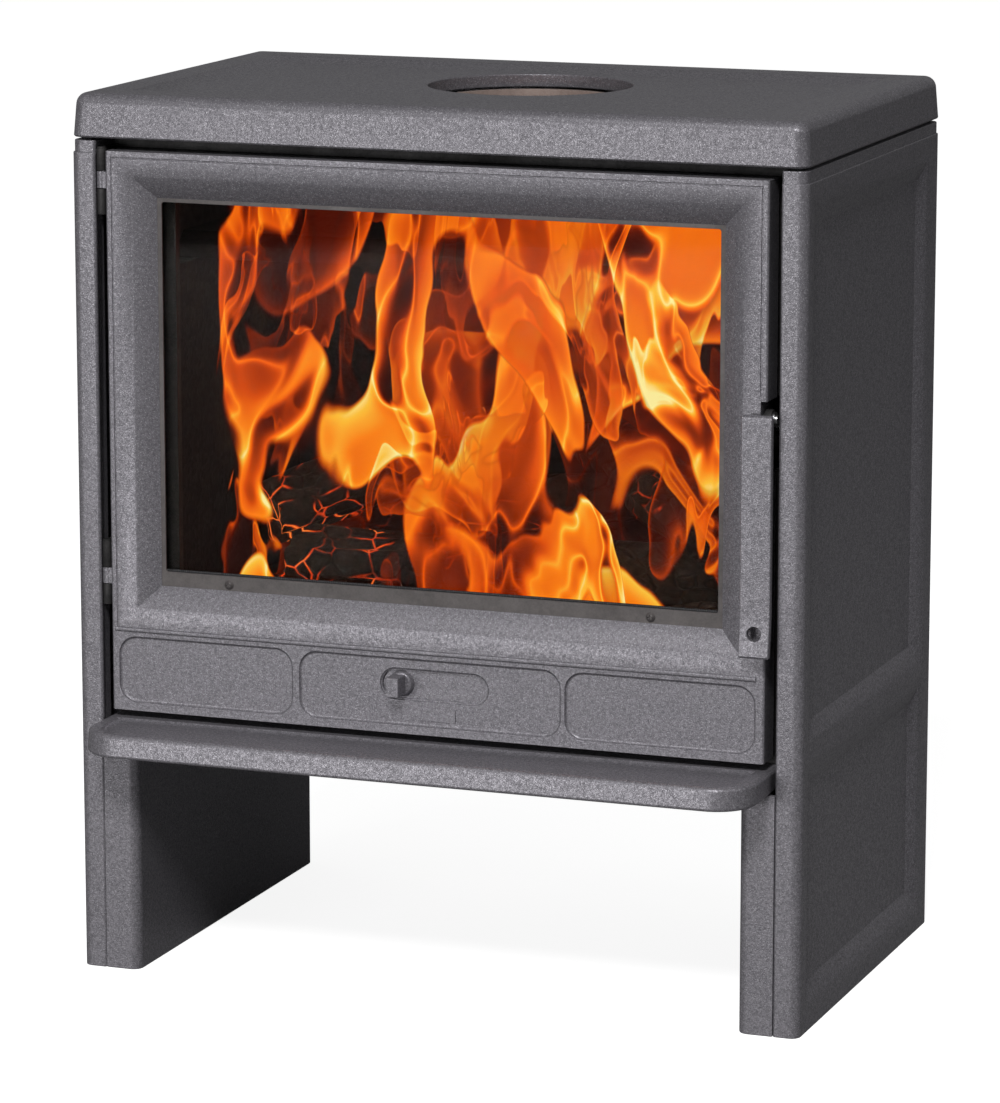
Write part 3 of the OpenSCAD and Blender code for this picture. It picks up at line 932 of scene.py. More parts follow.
@dataclass(frozen=True)
class Rope:
    """Braided glass-fibre rope seal."""

    name: str
    dark: Colour
    light: Colour
    strands: float = 260.0 * 6.28

    def make(self, effects: Effects) -> bpy.types.Material:
        """Builds the material.

        Args:
            effects: The shared effects.

        Returns:
            The material.
        """
        material, g, shader, where = new_material(self.name)
        part = g.node("ShaderNodeSeparateXYZ")
        g.put(part.inputs[0], where)
        along = g.math("MULTIPLY", g.math("ADD", part.outputs[0], part.outputs[2]), self.strands)
        across = g.math("MULTIPLY", g.math("SUBTRACT", part.outputs[0], part.outputs[2]), self.strands)
        braid = g.math("MULTIPLY", g.math("SINE", along), g.math("SINE", across))
        weave = g.range(braid, -0.8, 0.8, 0.0, 1.0)
        fuzz = g.group(effects.grain, Vector=where, Scale=1500.0)
        share = g.math("MULTIPLY", weave, fuzz.outputs["Shade"])
        g.put(shader.inputs["Base Color"], g.mix(share, self.dark, self.light))
        g.put(shader.inputs["Roughness"], g.range(fuzz.outputs["Shade"], 0.0, 1.0, 0.85, 1.0))
        g.put(shader.inputs["Normal"], g.bump(weave, 0.0006, 0.8))
        return material


@dataclass(frozen=True)
class Glass:
    """Ceramic glass with a light haze in soft clouds."""

    name: str
    tint: Colour

    def make(self, effects: Effects) -> bpy.types.Material:
        """Builds the material.

        Args:
            effects: The shared effects.

        Returns:
            The material.
        """
        material, g, shader, where = new_material(self.name)
        haze = g.group(effects.stain, Vector=where, Scale=5.0, Contrast=2.5)
        g.put(shader.inputs["Base Color"], g.mix(haze.outputs["Mask"], self.tint, (1.0, 0.985, 0.96, 1.0)))
        g.put(shader.inputs["Roughness"], g.range(haze.outputs["Mask"], 0.3, 1.0, 0.0, 0.03))
        shader.inputs["Transmission Weight"].default_value = 1.0
        shader.inputs["IOR"].default_value = 1.2
        shader.inputs["Specular IOR Level"].default_value = 0.25
        return material


@dataclass(frozen=True)
class Charcoal:
    """Charred wood with embers glowing in its cracks."""

    name: str
    char: Colour
    ash: Colour
    glow: float
    crack: float

    def make(self, effects: Effects) -> bpy.types.Material:
        """Builds the material.

        Args:
            effects: The shared effects.

        Returns:
            The material.
        """
        material, g, shader, where = new_material(self.name)
        shift = g.vector("SUBTRACT", g.noise(where, 14.0, 3.0).outputs[1], (0.5, 0.5, 0.5))
        bent = g.vector("ADD", where, g.vector("MULTIPLY", shift, (0.02, 0.02, 0.02)))
        cracks = g.cells(bent, self.crack, "DISTANCE_TO_EDGE").outputs["Distance"]
        blocks = g.cells(bent, self.crack * 2.7).outputs["Distance"]
        heat = g.group(effects.stain, Vector=where, Scale=9.0, Contrast=3.0)
        open_cracks = g.range(cracks, 0.0, 0.05, 1.0, 0.0)
        hot = g.math("MULTIPLY", open_cracks, g.range(heat.outputs["Mask"], 0.6, 1.0, 0.0, 1.0))
        grain = g.group(effects.grain, Vector=where, Scale=380.0)
        ashen = g.math("MULTIPLY", grain.outputs["Shade"], blocks)
        g.put(shader.inputs["Base Color"], g.mix(ashen, self.char, self.ash))
        g.put(shader.inputs["Roughness"], g.range(grain.outputs["Shade"], 0.0, 1.0, 0.8, 1.0))
        g.put(
            shader.inputs["Emission Color"],
            g.ramp(
                hot,
                [
                    (0.0, (0.0, 0.0, 0.0, 1.0)),
                    (0.5, (0.7, 0.05, 0.005, 1.0)),
                    (1.0, (1.0, 0.32, 0.04, 1.0)),
                ],
            ),
        )
        shader.inputs["Emission Strength"].default_value = self.glow
        rough = g.math("MULTIPLY", grain.outputs["Height"], 0.3)
        height = g.math("ADD", g.range(cracks, 0.0, 0.1, 0.0, 1.0), rough)
        g.put(shader.inputs["Normal"], g.bump(height, 0.004, 0.8))
        return material


@dataclass(frozen=True)
class Flame:
    """A sheet of licking flame: clear between its tongues, with bright folds."""

    name: str
    seed: float
    cover: float
    hot: tuple[Point, ...]
    glow: float = 1.0
    scale: float = 9.5
    top: float = 1.0

    def tongues(self, g: Graph, where: object, seed: float, scale: float) -> tuple[object, object]:
        """One layer of tongues with a sharp outer edge and a soft inside.

        Args:
            g: The material's graph.
            where: The socket of Object coordinates.
            seed: Sets the layer apart.
            scale: How many tongues there are to the metre.

        Returns:
            The sockets of the layer's cover and of its heat.
        """
        start = g.vector("MULTIPLY_ADD", where, (1.0, 0.4, 0.42))
        start.node.inputs[2].default_value = (seed, seed * 0.7, seed * 1.3)
        sway = g.vector("SUBTRACT", g.noise(start, scale * 0.55, 2.0, 0.5).outputs[1], (0.5, 0.5, 0.5))
        bent = g.vector("ADD", start, g.vector("MULTIPLY", sway, (0.24, 0.0, 0.14)))
        curl = g.vector("SUBTRACT", g.noise(bent, scale * 1.5, 2.0, 0.5).outputs[1], (0.5, 0.5, 0.5))
        licked = g.vector("ADD", bent, g.vector("MULTIPLY", curl, (0.10, 0.0, 0.06)))
        across = g.node("ShaderNodeSeparateXYZ")
        g.put(across.inputs[0], where)
        left = g.range(across.outputs[0], -0.245, -0.15, 0.13, 0.0)
        right = g.range(across.outputs[0], 0.232, 0.25, 0.0, 0.2)
        upper = g.range(across.outputs[2], self.top - 0.09, self.top, 0.0, 0.3)
        least = g.math("ADD", g.math("ADD", left, right), g.math("ADD", upper, self.cover))
        level = g.math("SUBTRACT", g.noise(licked, scale, 1.0, 0.4).outputs[0], least)
        inside = g.range(level, 0.0, 0.020, 0.0, 1.0)
        fold = g.math("EXPONENT", g.math("MULTIPLY", g.math("MAXIMUM", level, 0.0), -24.0))
        fine = g.noise(licked, scale * 2.3, 1.0, 0.4).outputs[0]
        off_line = g.math("ABSOLUTE", g.math("SUBTRACT", fine, 0.5))
        line = g.math("EXPONENT", g.math("MULTIPLY", off_line, -42.0))
        body = g.math("ADD", g.range(fine, 0.36, 0.68, 0.0, 0.36), g.math("MULTIPLY", line, 0.40))
        heat = g.math("ADD", body, g.math("MULTIPLY", fold, 0.50))
        return inside, g.math("MULTIPLY", heat, inside)

    def make(self, effects: Effects) -> bpy.types.Material:
        """Builds the material.

        Args:
            effects: Not used.

        Returns:
            The material.
        """
        material, g, shader, where = new_material(self.name)
        cover_a, heat_a = self.tongues(g, where, self.seed, self.scale)
        cover_b, heat_b = self.tongues(g, where, self.seed + 5.3, self.scale * 1.7)
        cover = g.math("MAXIMUM", cover_a, g.math("MULTIPLY", cover_b, 0.8))
        heat = g.math("ADD", g.math("MULTIPLY", heat_a, 0.95), g.math("MULTIPLY", heat_b, 0.5))
        warmth: object = 0.58
        for x, z, reach in self.hot:  # a warm spot: its place across, its height, and its reach
            away = g.vector("MULTIPLY", g.vector("SUBTRACT", where, (x, 0.0, z)), (1.0, 0.0, 0.8))
            far = g.node("ShaderNodeVectorMath", operation="LENGTH")
            g.put(far.inputs[0], away)
            warmth = g.math("ADD", warmth, g.range(far.outputs["Value"], 0.0, reach, 0.95, 0.0))
        heat = g.math("MULTIPLY", heat, warmth)
        g.put(
            shader.inputs["Emission Color"],
            g.ramp(
                heat,
                [
                    (0.0, (0.05, 0.0, 0.0, 1.0)),
                    (0.14, (0.34, 0.018, 0.0, 1.0)),
                    (0.30, (0.80, 0.085, 0.002, 1.0)),
                    (0.50, (1.0, 0.23, 0.006, 1.0)),
                    (0.74, (1.0, 0.55, 0.045, 1.0)),
                    (1.0, (1.0, 0.88, 0.36, 1.0)),
                ],
            ),
        )
        shader.inputs["Emission Strength"].default_value = self.glow
        shader.inputs["Base Color"].default_value = (0.0, 0.0, 0.0, 1.0)
        shader.inputs["Specular IOR Level"].default_value = 0.0
        shader.inputs["Roughness"].default_value = 1.0
        g.put(shader.inputs["Alpha"], g.math("MULTIPLY", cover, g.range(heat, 0.03, 0.40, 0.12, 0.97)))
        return material


@dataclass
class Finishes:
    """Every material of the stove."""

    effects: Effects
    paint: bpy.types.Material = field(init=False)
    iron: bpy.types.Material = field(init=False)
    sheet: bpy.types.Material = field(init=False)
    bright: bpy.types.Material = field(init=False)
    brick: bpy.types.Material = field(init=False)
    rope: bpy.types.Material = field(init=False)
    glass: bpy.types.Material = field(init=False)
    trim: bpy.types.Material = field(init=False)
    collar: bpy.types.Material = field(init=False)
    log: bpy.types.Material = field(init=False)
    ember: bpy.types.Material = field(init=False)

    def __post_init__(self) -> None:
        """Builds each material once."""

        def make(finish: CastPaint | Metal | Brick | Rope | Glass | Charcoal) -> bpy.types.Material:
            """Builds one finish with the shared effects."""
            return finish.make(self.effects)

        # The flake colour also paints the highlight on the paint's sharp edges.
        self.paint = make(CastPaint("grey_paint", rgb(92, 90, 95), rgb(142, 139, 145), rgb(190, 188, 193)))
        # This dark iron also covers the front frame as painted shade in the gaps round the door.
        self.iron = make(
            Metal("bare_iron", rgb(40, 39, 40), rgb(26, 25, 25), rgb(84, 82, 82), 0.6, 0.6, 500.0, 0.00015)
        )
        self.sheet = make(
            Metal(
                "sheet_steel",
                rgb(148, 150, 152),
                rgb(120, 121, 124),
                rgb(186, 188, 190),
                metal=0.85,
                rough=0.38,
                grain=300.0,
            )
        )
        self.bright = make(
            Metal(
                "bright_steel",
                rgb(190, 190, 192),
                rgb(160, 160, 160),
                rgb(220, 220, 222),
                metal=1.0,
                rough=0.25,
                grain=1500.0,
            )
        )
        self.brick = make(Brick("fire_brick", rgb(150, 126, 92), rgb(196, 170, 120), rgb(9, 7, 7), 1.0))
        self.rope = make(Rope("rope_seal", rgb(22, 22, 24), rgb(86, 86, 88)))
        self.glass = make(Glass("ceramic_glass", (0.97, 0.93, 0.87, 1.0)))
        self.trim = make(
            Metal(
                "dark_trim",
                rgb(80, 76, 76),
                rgb(64, 60, 60),
                rgb(116, 110, 108),
                metal=0.35,
                rough=0.5,
                depth=0.00004,
            )
        )
        self.collar = make(
            Metal(
                "collar_iron",
                rgb(146, 128, 120),
                rgb(112, 98, 92),
                rgb(170, 158, 150),
                metal=0.2,
                rough=0.6,
                grain=500.0,
                depth=0.0002,
            )
        )
        self.log = make(Charcoal("charred_log", rgb(10, 8, 8), rgb(60, 50, 45), 0.9, 42.0))
        self.ember = make(Charcoal("ember_bed", rgb(14, 10, 9), rgb(90, 80, 74), 2.6, 85.0))


# ---- Castings --------------------------------------------------------------------------


@dataclass
class Lid:
    """The top casting: a drafted slab with a dished field and the flue opening."""

    draft: float = 2.5 * MM
    corner: float = 11 * MM
    top_round: float = 9 * MM
    rim: float = 38 * MM
    slope: float = 12 * MM
    dish: float = 5 * MM
    plate: float = 8 * MM
    skirt: float = 10 * MM
    hole: float = 87.5 * MM
    lip: float = 7 * MM
    collar_gap: float = 0.7 * MM

    def build(self) -> bpy.types.Object:
        """Models the lid.

        Returns:
            The lid's object.
        """
        low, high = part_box("top_plate")
        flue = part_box("flue_collar")
        centre_y = (flue[0].y + flue[1].y) / 2
        slab = Shape.box(low, high)
        for vert in slab.bm.verts:
            if vert.co.z > (low.z + high.z) / 2:
                vert.co.x -= math.copysign(self.draft, vert.co.x)
                vert.co.y -= math.copysign(self.draft, vert.co.y - centre_y)
        slab.bevel(lambda e: runs_along(e, 2), self.corner, 8)
        slab.bevel(lambda e: lies_at(e, 2, high.z), self.top_round, 8)
        slab.bevel(lambda e: lies_at(e, 2, low.z), 1.2 * MM, 2)
        lid = slab.to_object("lid_casting")
        x = high.x - self.rim - self.slope
        y = (low.y + self.rim + self.slope, high.y - self.rim - self.slope)
        floor = high.z - self.dish
        field_cut = Shape.frustum(
            (-x, y[0], floor), (x, y[1], high.z + self.dish), 2, 2 * self.slope
        ).bevel(lambda e: lies_at(e, 2, floor), 16 * MM, 6)
        s = self.skirt
        under = Shape.box(
            (low.x + s, low.y + s, low.z - s), (high.x - s, high.y - s, floor - self.plate)
        ).bevel(lambda e: lies_at(e, 2, floor - self.plate), 4 * MM, 3)
        work(lid, [field_cut, under])
        base = flue[1].z + self.collar_gap
        height = floor - self.plate / 2 - base
        work(lid, [Shape.rod((0, centre_y, base), 2, height, self.hole + self.lip, sides=96)], Cut.JOIN)
        hole = Shape.rod((0, centre_y, low.z - s), 2, 0.1, self.hole, sides=128)
        return work(lid, [hole])

    def dress(self, finishes: Finishes) -> None:
        """Builds, paints and places the lid."""
        lid = soften(self.build(), 1.1 * MM, 3, 35.0)
        settle(lid, finishes.paint, Body.STOVE, Slot.PAINT, "top_plate")


@dataclass
class SidePanels:
    """The two cast side panels, with a sunk field above and below a rib."""

    edge: float = 8 * MM
    inner: float = 3 * MM
    rim_round: float = 0.6 * MM
    step_in: float = 1 * MM
    wall: float = 13 * MM
    flange: float = 16 * MM
    band: float = 10 * MM
    deep: float = 7 * MM
    slope: float = 24 * MM
    margin: float = 14 * MM
    rear_extra: float = 12 * MM
    steps: int = 9
    fields: tuple[tuple[float, float], ...] = ((14 * MM, 230 * MM), (234 * MM, 688 * MM))

    def build(self, mirror: bool) -> bpy.types.Object:
        """Models one panel.

        Args:
            mirror: Whether this is the left panel.

        Returns:
            The panel's object.
        """
        low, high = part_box("right_side_panel")
        step = high.z - self.band

        def column(bottom: float, top: float, shrink: float) -> Shape:
            """One height of the panel, with its edges rounded.

            Args:
                bottom: Its lowest height.
                top: Its highest height.
                shrink: How far its outside is set in.

            Returns:
                The shape.
            """
            part = Shape.box(
                (low.x, low.y + shrink, bottom), (high.x - shrink, high.y - shrink, top)
            )
            part.bevel(lambda e: runs_along(e, 2) and lies_at(e, 0, high.x - shrink), self.edge, 6)
            part.bevel(lambda e: runs_along(e, 2) and lies_at(e, 0, low.x), self.inner, 4)
            part.bevel(lambda e: lies_at(e, 2, bottom), self.rim_round, 2)
            part.bevel(lambda e: lies_at(e, 2, top), self.rim_round, 2)
            return part

        name = "left_panel_casting" if mirror else "right_panel_casting"
        panel = column(0.0, step, 0.0).to_object(name)
        work(panel, [column(step - 3 * self.step_in, high.z, self.step_in)], Cut.JOIN)
        cuts = [
            Shape.box(
                (low.x - self.inner, low.y + self.flange, -self.band),
                (high.x - self.wall, high.y - self.flange, high.z + self.band),
            )
        ]
        y = (low.y + self.margin, high.y - self.margin - self.rear_extra)
        shares = [(i + 1) / self.steps for i in range(self.steps)]
        profile = [(self.slope * t, self.deep * t**1.8) for t in shares]
        for z in self.fields:
            cuts.append(
                hollow_tool(
                    (high.x, y[0], z[0]), (high.x + self.deep, y[1], z[1]), 0, -1, profile
                )
            )
        work(panel, cuts)
        if mirror:
            other = Shape()
            other.bm.from_mesh(panel.data)
            other.mirrored().bm.to_mesh(panel.data)
            other.bm.free()
        return panel

    def dress(self, finishes: Finishes) -> None:
        """Builds, paints and places both panels.

        Args:
            finishes: The stove's materials.
        """
        for mirror, node in ((False, "right_side_panel"), (True, "left_side_panel")):
            panel = soften(self.build(mirror), 0.0, angle=17.0)
            settle(panel, finishes.paint, Body.STOVE, Slot.PAINT, node)


@dataclass
class Legs:
    """The inner leg castings that close the side panels below the body."""

    edge: float = 9 * MM
    wall: float = 6 * MM

    def build(self, node: str, name: str) -> bpy.types.Object:
        """Models one leg.

        Args:
            node: The node that gives its place.
            name: The piece's name.

        Returns:
            The leg's object.
        """
        low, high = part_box(node)
        inner = low.x if low.x > 0 else high.x
        outer = high.x if low.x > 0 else low.x
        leg = Shape.box(low, high)
        leg.bevel(lambda e: runs_along(e, 2) and lies_at(e, 0, inner), self.edge, 7)
        leg.bevel(lambda e: lies_at(e, 2, low.z), 1 * MM, 2)
        away = math.copysign(self.wall, outer)
        x = sorted((inner + away, outer + away))
        hollow = Shape.box(
            (x[0], low.y + self.wall, low.z - self.wall), (x[1], high.y - self.wall, high.z + self.wall)
        )
        return work(leg.to_object(name), [hollow])

    def dress(self, finishes: Finishes) -> None:
        """Builds, paints and places both legs.

        Args:
            finishes: The stove's materials.
        """
        for side in ("left", "right"):
            leg = soften(self.build(f"{side}_leg_liner", f"{side}_leg_casting"), 0.4 * MM)
            settle(leg, finishes.paint, Body.STOVE, Slot.PAINT, f"{side}_leg_liner")


@dataclass
class Shelf:
    """The front shelf: a thick tray with round front corners."""

    corner: float = 34 * MM
    draft: float = 3 * MM
    dish: float = 2.5 * MM
    rim: float = 7 * MM

    def build(self) -> bpy.types.Object:
        """Models the shelf.

        Returns:
            The shelf's object.
        """
        low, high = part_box("front_shelf")
        door_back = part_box("door_frame")[0].y
        slab = Shape.box(low, high)
        for vert in slab.bm.verts:
            if vert.co.z > low.z + 1 * MM and vert.co.y < door_back - 10 * MM:
                vert.co.y += self.draft
        slab.bevel(lambda e: runs_along(e, 2) and e.verts[0].co.y < low.y + 9 * MM, self.corner, 16)
        slab.bevel(lambda e: lies_at(e, 2, high.z), 3.6 * MM, 5)
        slab.bevel(lambda e: lies_at(e, 2, low.z), 3.0 * MM, 4)
        shelf = slab.to_object("shelf_casting")
        floor = high.z - self.dish
        inset = self.rim + 6 * MM
        tray = Shape.box(
            (low.x + inset, low.y + inset, floor), (high.x - inset, door_back - 1 * MM, high.z + self.dish)
        )
        tray.bevel(lambda e: runs_along(e, 2) and lies_at(e, 1, low.y + inset), self.corner - inset, 12)
        top = [v for v in tray.bm.verts if v.co.z > high.z]
        middle = Vector((0, (low.y + door_back) / 2, 0))
        for vert in top:
            away = (vert.co - middle) * Vector((1, 1, 0))
            vert.co += Vector((math.copysign(9 * MM, away.x), math.copysign(9 * MM, away.y), 0))
        tray.bevel(lambda e: lies_at(e, 2, floor), 5 * MM, 4)
        return work(shelf, [tray])

    def dress(self, finishes: Finishes) -> None:
        """Builds, paints and places the shelf."""
        shelf = soften(self.build(), 0.0, angle=28.0)
        settle(shelf, finishes.paint, Body.STOVE, Slot.PAINT, "front_shelf")


# ---- Door ------------------------------------------------------------------------------


@dataclass
class Door:
    """The door casting with its window moulding, lower panels, air slot and hinge lugs."""

    window_x: float = 248 * MM
    window_z: tuple[float, float] = (334.5 * MM, 663.5 * MM)
    cove: float = 34 * MM
    cove_deep: float = 14 * MM
    cove_steps: int = 14
    pocket_z: tuple[float, float] = (326 * MM, 676 * MM)
    pocket_x: float = 259 * MM
    rim: float = 5 * MM
    groove: float = 1.2 * MM
    groove_deep: float = 0.9 * MM
    ridge: float = 298 * MM
    panels: tuple[tuple[float, float], ...] = (
        (-282 * MM, -123.5 * MM),
        (-117.5 * MM, 114 * MM),
        (117.5 * MM, 281 * MM),
    )
    panel_z: tuple[float, float] = (235 * MM, 292 * MM)
    panel_round: float = 16 * MM
    panel_deep: float = 2.4 * MM
    floor_soft: float = 0.9
    slot_x: tuple[float, float] = (-44.5 * MM, 49 * MM)
    slot_z: float = 269.5 * MM
    slot_r: float = 12.2 * MM
    slot_lip: float = 1.3 * MM
    notch_z: tuple[float, float] = (466 * MM, 525 * MM)
    seal_x: tuple[float, float] = (266 * MM, 276 * MM)
    seal_z: tuple[float, float] = (233 * MM, 697 * MM)
    cavity_x: float = 262 * MM
    cavity_z: tuple[float, float] = (246 * MM, 300 * MM)
    skin: float = 6 * MM
    knuckle: float = 4.2 * MM
    arm_set_in: float = 0.6 * MM
    arm_reach: float = 6 * MM
    lug_z: tuple[tuple[str, float, float], ...] = (
        ("upper", 671 * MM, 685 * MM),
        ("lower", 336 * MM, 349.5 * MM),
    )
    side_round: float = 2 * MM
    rim_round: float = 1.4 * MM
    ridge_high: float = 1.4 * MM
    wedge_high: float = 1.3 * MM

    def __post_init__(self) -> None:
        """Takes the door's outline from the frame."""
        low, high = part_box("door_frame")
        self.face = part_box("right_side_panel")[0].y
        self.back = high.y
        self.half = high.x
        self.bottom, self.top = low.z, high.z

    def window_tool(self) -> Shape:
        """The shape of the opening with its hollow moulding, which narrows step by step.

        Returns:
            The tool shape.
        """
        out_x = self.window_x + self.cove
        out_z = (self.window_z[0] - self.cove, self.window_z[1] + self.cove)
        shares = [(i + 1) / self.cove_steps for i in range(self.cove_steps)]
        profile = [(self.cove * t, self.cove_deep * t * t) for t in shares]
        tool = hollow_tool(
            (-out_x, self.face - 3 * MM, out_z[0]), (out_x, self.face, out_z[1]), 1, 1, profile
        )
        inner = max(tool.bm.faces, key=lambda f: f.calc_center_median().y)
        grown = bmesh.ops.extrude_face_region(tool.bm, geom=[inner])
        verts = [g for g in grown["geom"] if isinstance(g, bmesh.types.BMVert)]
        bmesh.ops.translate(tool.bm, verts=verts, vec=(0, self.back - self.face, 0))
        bmesh.ops.delete(tool.bm, geom=[inner], context="FACES_ONLY")
        bmesh.ops.recalc_face_normals(tool.bm, faces=tool.bm.faces)
        return tool

    def rounded(self, x: tuple[float, float], z: tuple[float, float], radius: float, depth: float) -> Shape:
        """A tool for a sunk area with round corners, and a soft floor edge where it is shallow.

        Args:
            x: Its range across.
            z: Its range in height.
            radius: The radius of its corners.
            depth: How far it reaches behind the door's face.

        Returns:
            The tool shape.
        """
        floor = self.face + depth
        tool = Shape.box((x[0], self.face - 2 * MM, z[0]), (x[1], floor, z[1]))
        tool.bevel(lambda e: runs_along(e, 1), radius, 10)
        if depth < self.skin:
            tool.bevel(lambda e: lies_at(e, 1, floor), depth * self.floor_soft, 4)
        return tool

    def back_tools(self) -> list[Shape]:
        """The pockets and grooves in the door's back.

        Returns:
            The tool shapes.
        """
        behind = self.back + 1 * MM
        tools = [
            Shape.box(
                (-self.pocket_x, self.face + self.cove_deep, self.pocket_z[0]),
                (self.pocket_x, behind, self.pocket_z[1]),
            ).bevel(lambda e: runs_along(e, 1), 3 * MM, 3),
            Shape.box(
                (-self.cavity_x, self.face + self.skin, self.cavity_z[0]),
                (self.cavity_x, behind, self.cavity_z[1]),
            ).bevel(lambda e: runs_along(e, 1), 3 * MM, 3),
        ]
        ring = Shape.box(
            (-self.seal_x[1], self.face + 20 * MM, self.seal_z[0]), (self.seal_x[1], behind, self.seal_z[1])
        ).to_object("ring")
        width = self.seal_x[1] - self.seal_x[0]
        work(
            ring,
            [
                Shape.box(
                    (-self.seal_x[0], self.face, self.seal_z[0] + width),
                    (self.seal_x[0], behind + width, self.seal_z[1] - width),
                )
            ],
        )
        groove = Shape()
        groove.bm.from_mesh(ring.data)
        bpy.data.meshes.remove(ring.data)
        return [*tools, groove]

    def front_tools(self) -> list[Shape]:
        """The rim lines, lower panels, air slot and latch notch.

        Returns:
            The tool shapes.
        """
        x = self.half - self.rim
        z = self.top - self.rim
        front, deep, w = self.face - 1 * MM, self.face + self.groove_deep, self.groove
        tools = [
            Shape.box((-x, front, z - w), (x, deep, z)),
            Shape.box((x - w, front, self.notch_z[1] + 4 * MM), (x, deep, z - w / 2)),
            Shape.box((-x, front, self.ridge), (-x + w, deep, z - w / 2)),
        ]
        for across in self.panels:
            tools.append(self.rounded(across, self.panel_z, self.panel_round, self.panel_deep))
        slot_z = (self.slot_z - self.slot_r, self.slot_z + self.slot_r)
        tools.append(self.rounded(self.slot_x, slot_z, self.slot_r - 0.05 * MM, self.skin + 2 * MM))
        lip = self.slot_lip
        tools.append(
            self.rounded(
                (self.slot_x[0] - lip, self.slot_x[1] + lip),
                (slot_z[0] - lip, slot_z[1] + lip),
                self.slot_r + lip - 0.05 * MM,
                self.panel_deep + lip,
            )
        )
        tools.append(
            Shape.box(
                (self.half - 5.5 * MM, front, self.notch_z[0]),
                (self.half + 1 * MM, self.back + 1 * MM, self.notch_z[1]),
            )
        )
        return tools

    def lugs(self) -> list[Shape]:
        """The two hinge lugs at the door's left edge.

        Returns:
            The lug shapes, which join the door.
        """
        made = []
        for which, z0, z1 in self.lug_z:
            pin_low, pin_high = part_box(f"{which}_hinge_pin")
            x, y = (pin_low.x + pin_high.x) / 2, (pin_low.y + pin_high.y) / 2
            made.append(Shape.rod((x, y, z0), 2, z1 - z0, self.knuckle, sides=40))
            made.append(
                Shape.box(
                    (x, y - self.knuckle + self.arm_set_in, z0),
                    (self.arm_reach - self.half, y + self.knuckle, z1),
                )
            )
        return made

    def build(self) -> bpy.types.Object:
        """Models the door.

        Returns:
            The door's object.
        """
        slab = Shape.box((-self.half, self.face, self.bottom), (self.half, self.back, self.top))
        slab.bevel(lambda e: runs_along(e, 2) and lies_at(e, 1, self.face), self.side_round, 4)
        slab.bevel(lambda e: runs_along(e, 0) and lies_at(e, 1, self.face), self.rim_round, 3)
        door = slab.to_object("door_casting")
        ridge = Shape.box(
            (-self.half + 3 * MM, self.face - self.ridge_high, self.ridge - 2 * MM),
            (self.half - 7 * MM, self.face + 1 * MM, self.ridge + 2 * MM),
        ).bevel(lambda e: lies_at(e, 1, self.face - self.ridge_high), 1.3 * MM, 4)
        work(door, [ridge, *self.lugs()], Cut.JOIN)
        work(door, [*self.back_tools(), *self.front_tools()])
        round_corners(door, 0.4 * MM, 2, 35.0)
        work(door, [self.wedge()], Cut.JOIN)
        return work(door, [self.window_tool()])

    def wedge(self) -> Shape:
        """The raised wedge that shows which way opens the air.

        Returns:
            The wedge shape, which joins the door.
        """
        outline = [(-17 * MM, 240.5 * MM), (21 * MM, 240.5 * MM), (21 * MM, 250 * MM)]
        start = self.face + self.panel_deep
        return Shape.prism(outline, 1, start - self.wedge_high, start + 1 * MM)

    def dress(self, finishes: Finishes) -> None:
        """Builds, paints and places the door."""
        door = soften(self.build(), 0.0, angle=28.0)
        settle(door, finishes.paint, Body.DOOR, Slot.PAINT, "door_frame")


@dataclass
class GlassTrim:
    """The dark strip round the glass and its two cross-head screws."""

    open_x: float = 244 * MM
    open_z: tuple[float, float] = (347 * MM, 660 * MM)
    screw_x: float = 186.5 * MM
    screw_z: float = 339.5 * MM
    head: float = 4.2 * MM
    head_high: float = 2.2 * MM
    shaft: float = 1.95 * MM
    cross: tuple[tuple[float, float], ...] = ((0.5 * MM, 2.0 * MM), (2.0 * MM, 0.5 * MM))
    cross_deep: float = 1.2 * MM

    def strip(self) -> bpy.types.Object:
        """Models the strip.

        Returns:
            The strip's object.
        """
        low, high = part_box("glass_retainer")
        strip = Shape.box(low, high).to_object("glass_strip")
        opening = Shape.box(
            (-self.open_x, low.y - 1 * MM, self.open_z[0]), (self.open_x, high.y + 1 * MM, self.open_z[1])
        ).bevel(lambda e: runs_along(e, 1), 2 * MM, 3)
        return work(strip, [opening])

    def screws(self) -> bpy.types.Object:
        """Models the two screws.

        Returns:
            The screws' object.
        """
        low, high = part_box("glass_screws")
        heads = Shape()
        for side in (-1, 1):
            at = (side * self.screw_x, low.y, self.screw_z)
            head = Shape.rod(at, 1, self.head_high, self.head * 0.55, self.head, 28)
            head.bevel(lambda e: lies_at(e, 1, low.y), 0.6 * MM, 3)
            heads.add(head)
            start = (at[0], low.y + 2 * MM, at[2])
            heads.add(Shape.rod(start, 1, high.y - low.y - 2 * MM, self.shaft, sides=16))
        piece = heads.to_object("glass_screw_heads")
        cuts = []
        for side in (-1, 1):
            x, z = side * self.screw_x, self.screw_z
            for a, b in self.cross:
                cuts.append(
                    Shape.box((x - a, low.y - 1 * MM, z - b), (x + a, low.y + self.cross_deep, z + b))
                )
        return work(piece, cuts)

    def dress(self, finishes: Finishes) -> None:
        """Builds, finishes and places the strip and the screws."""
        settle(soften(self.strip(), 0.3 * MM), finishes.trim, Body.DOOR, Slot.TRIM, "glass_retainer")
        settle(soften(self.screws(), 0.15 * MM), finishes.trim, Body.DOOR, Slot.TRIM, "glass_screws")


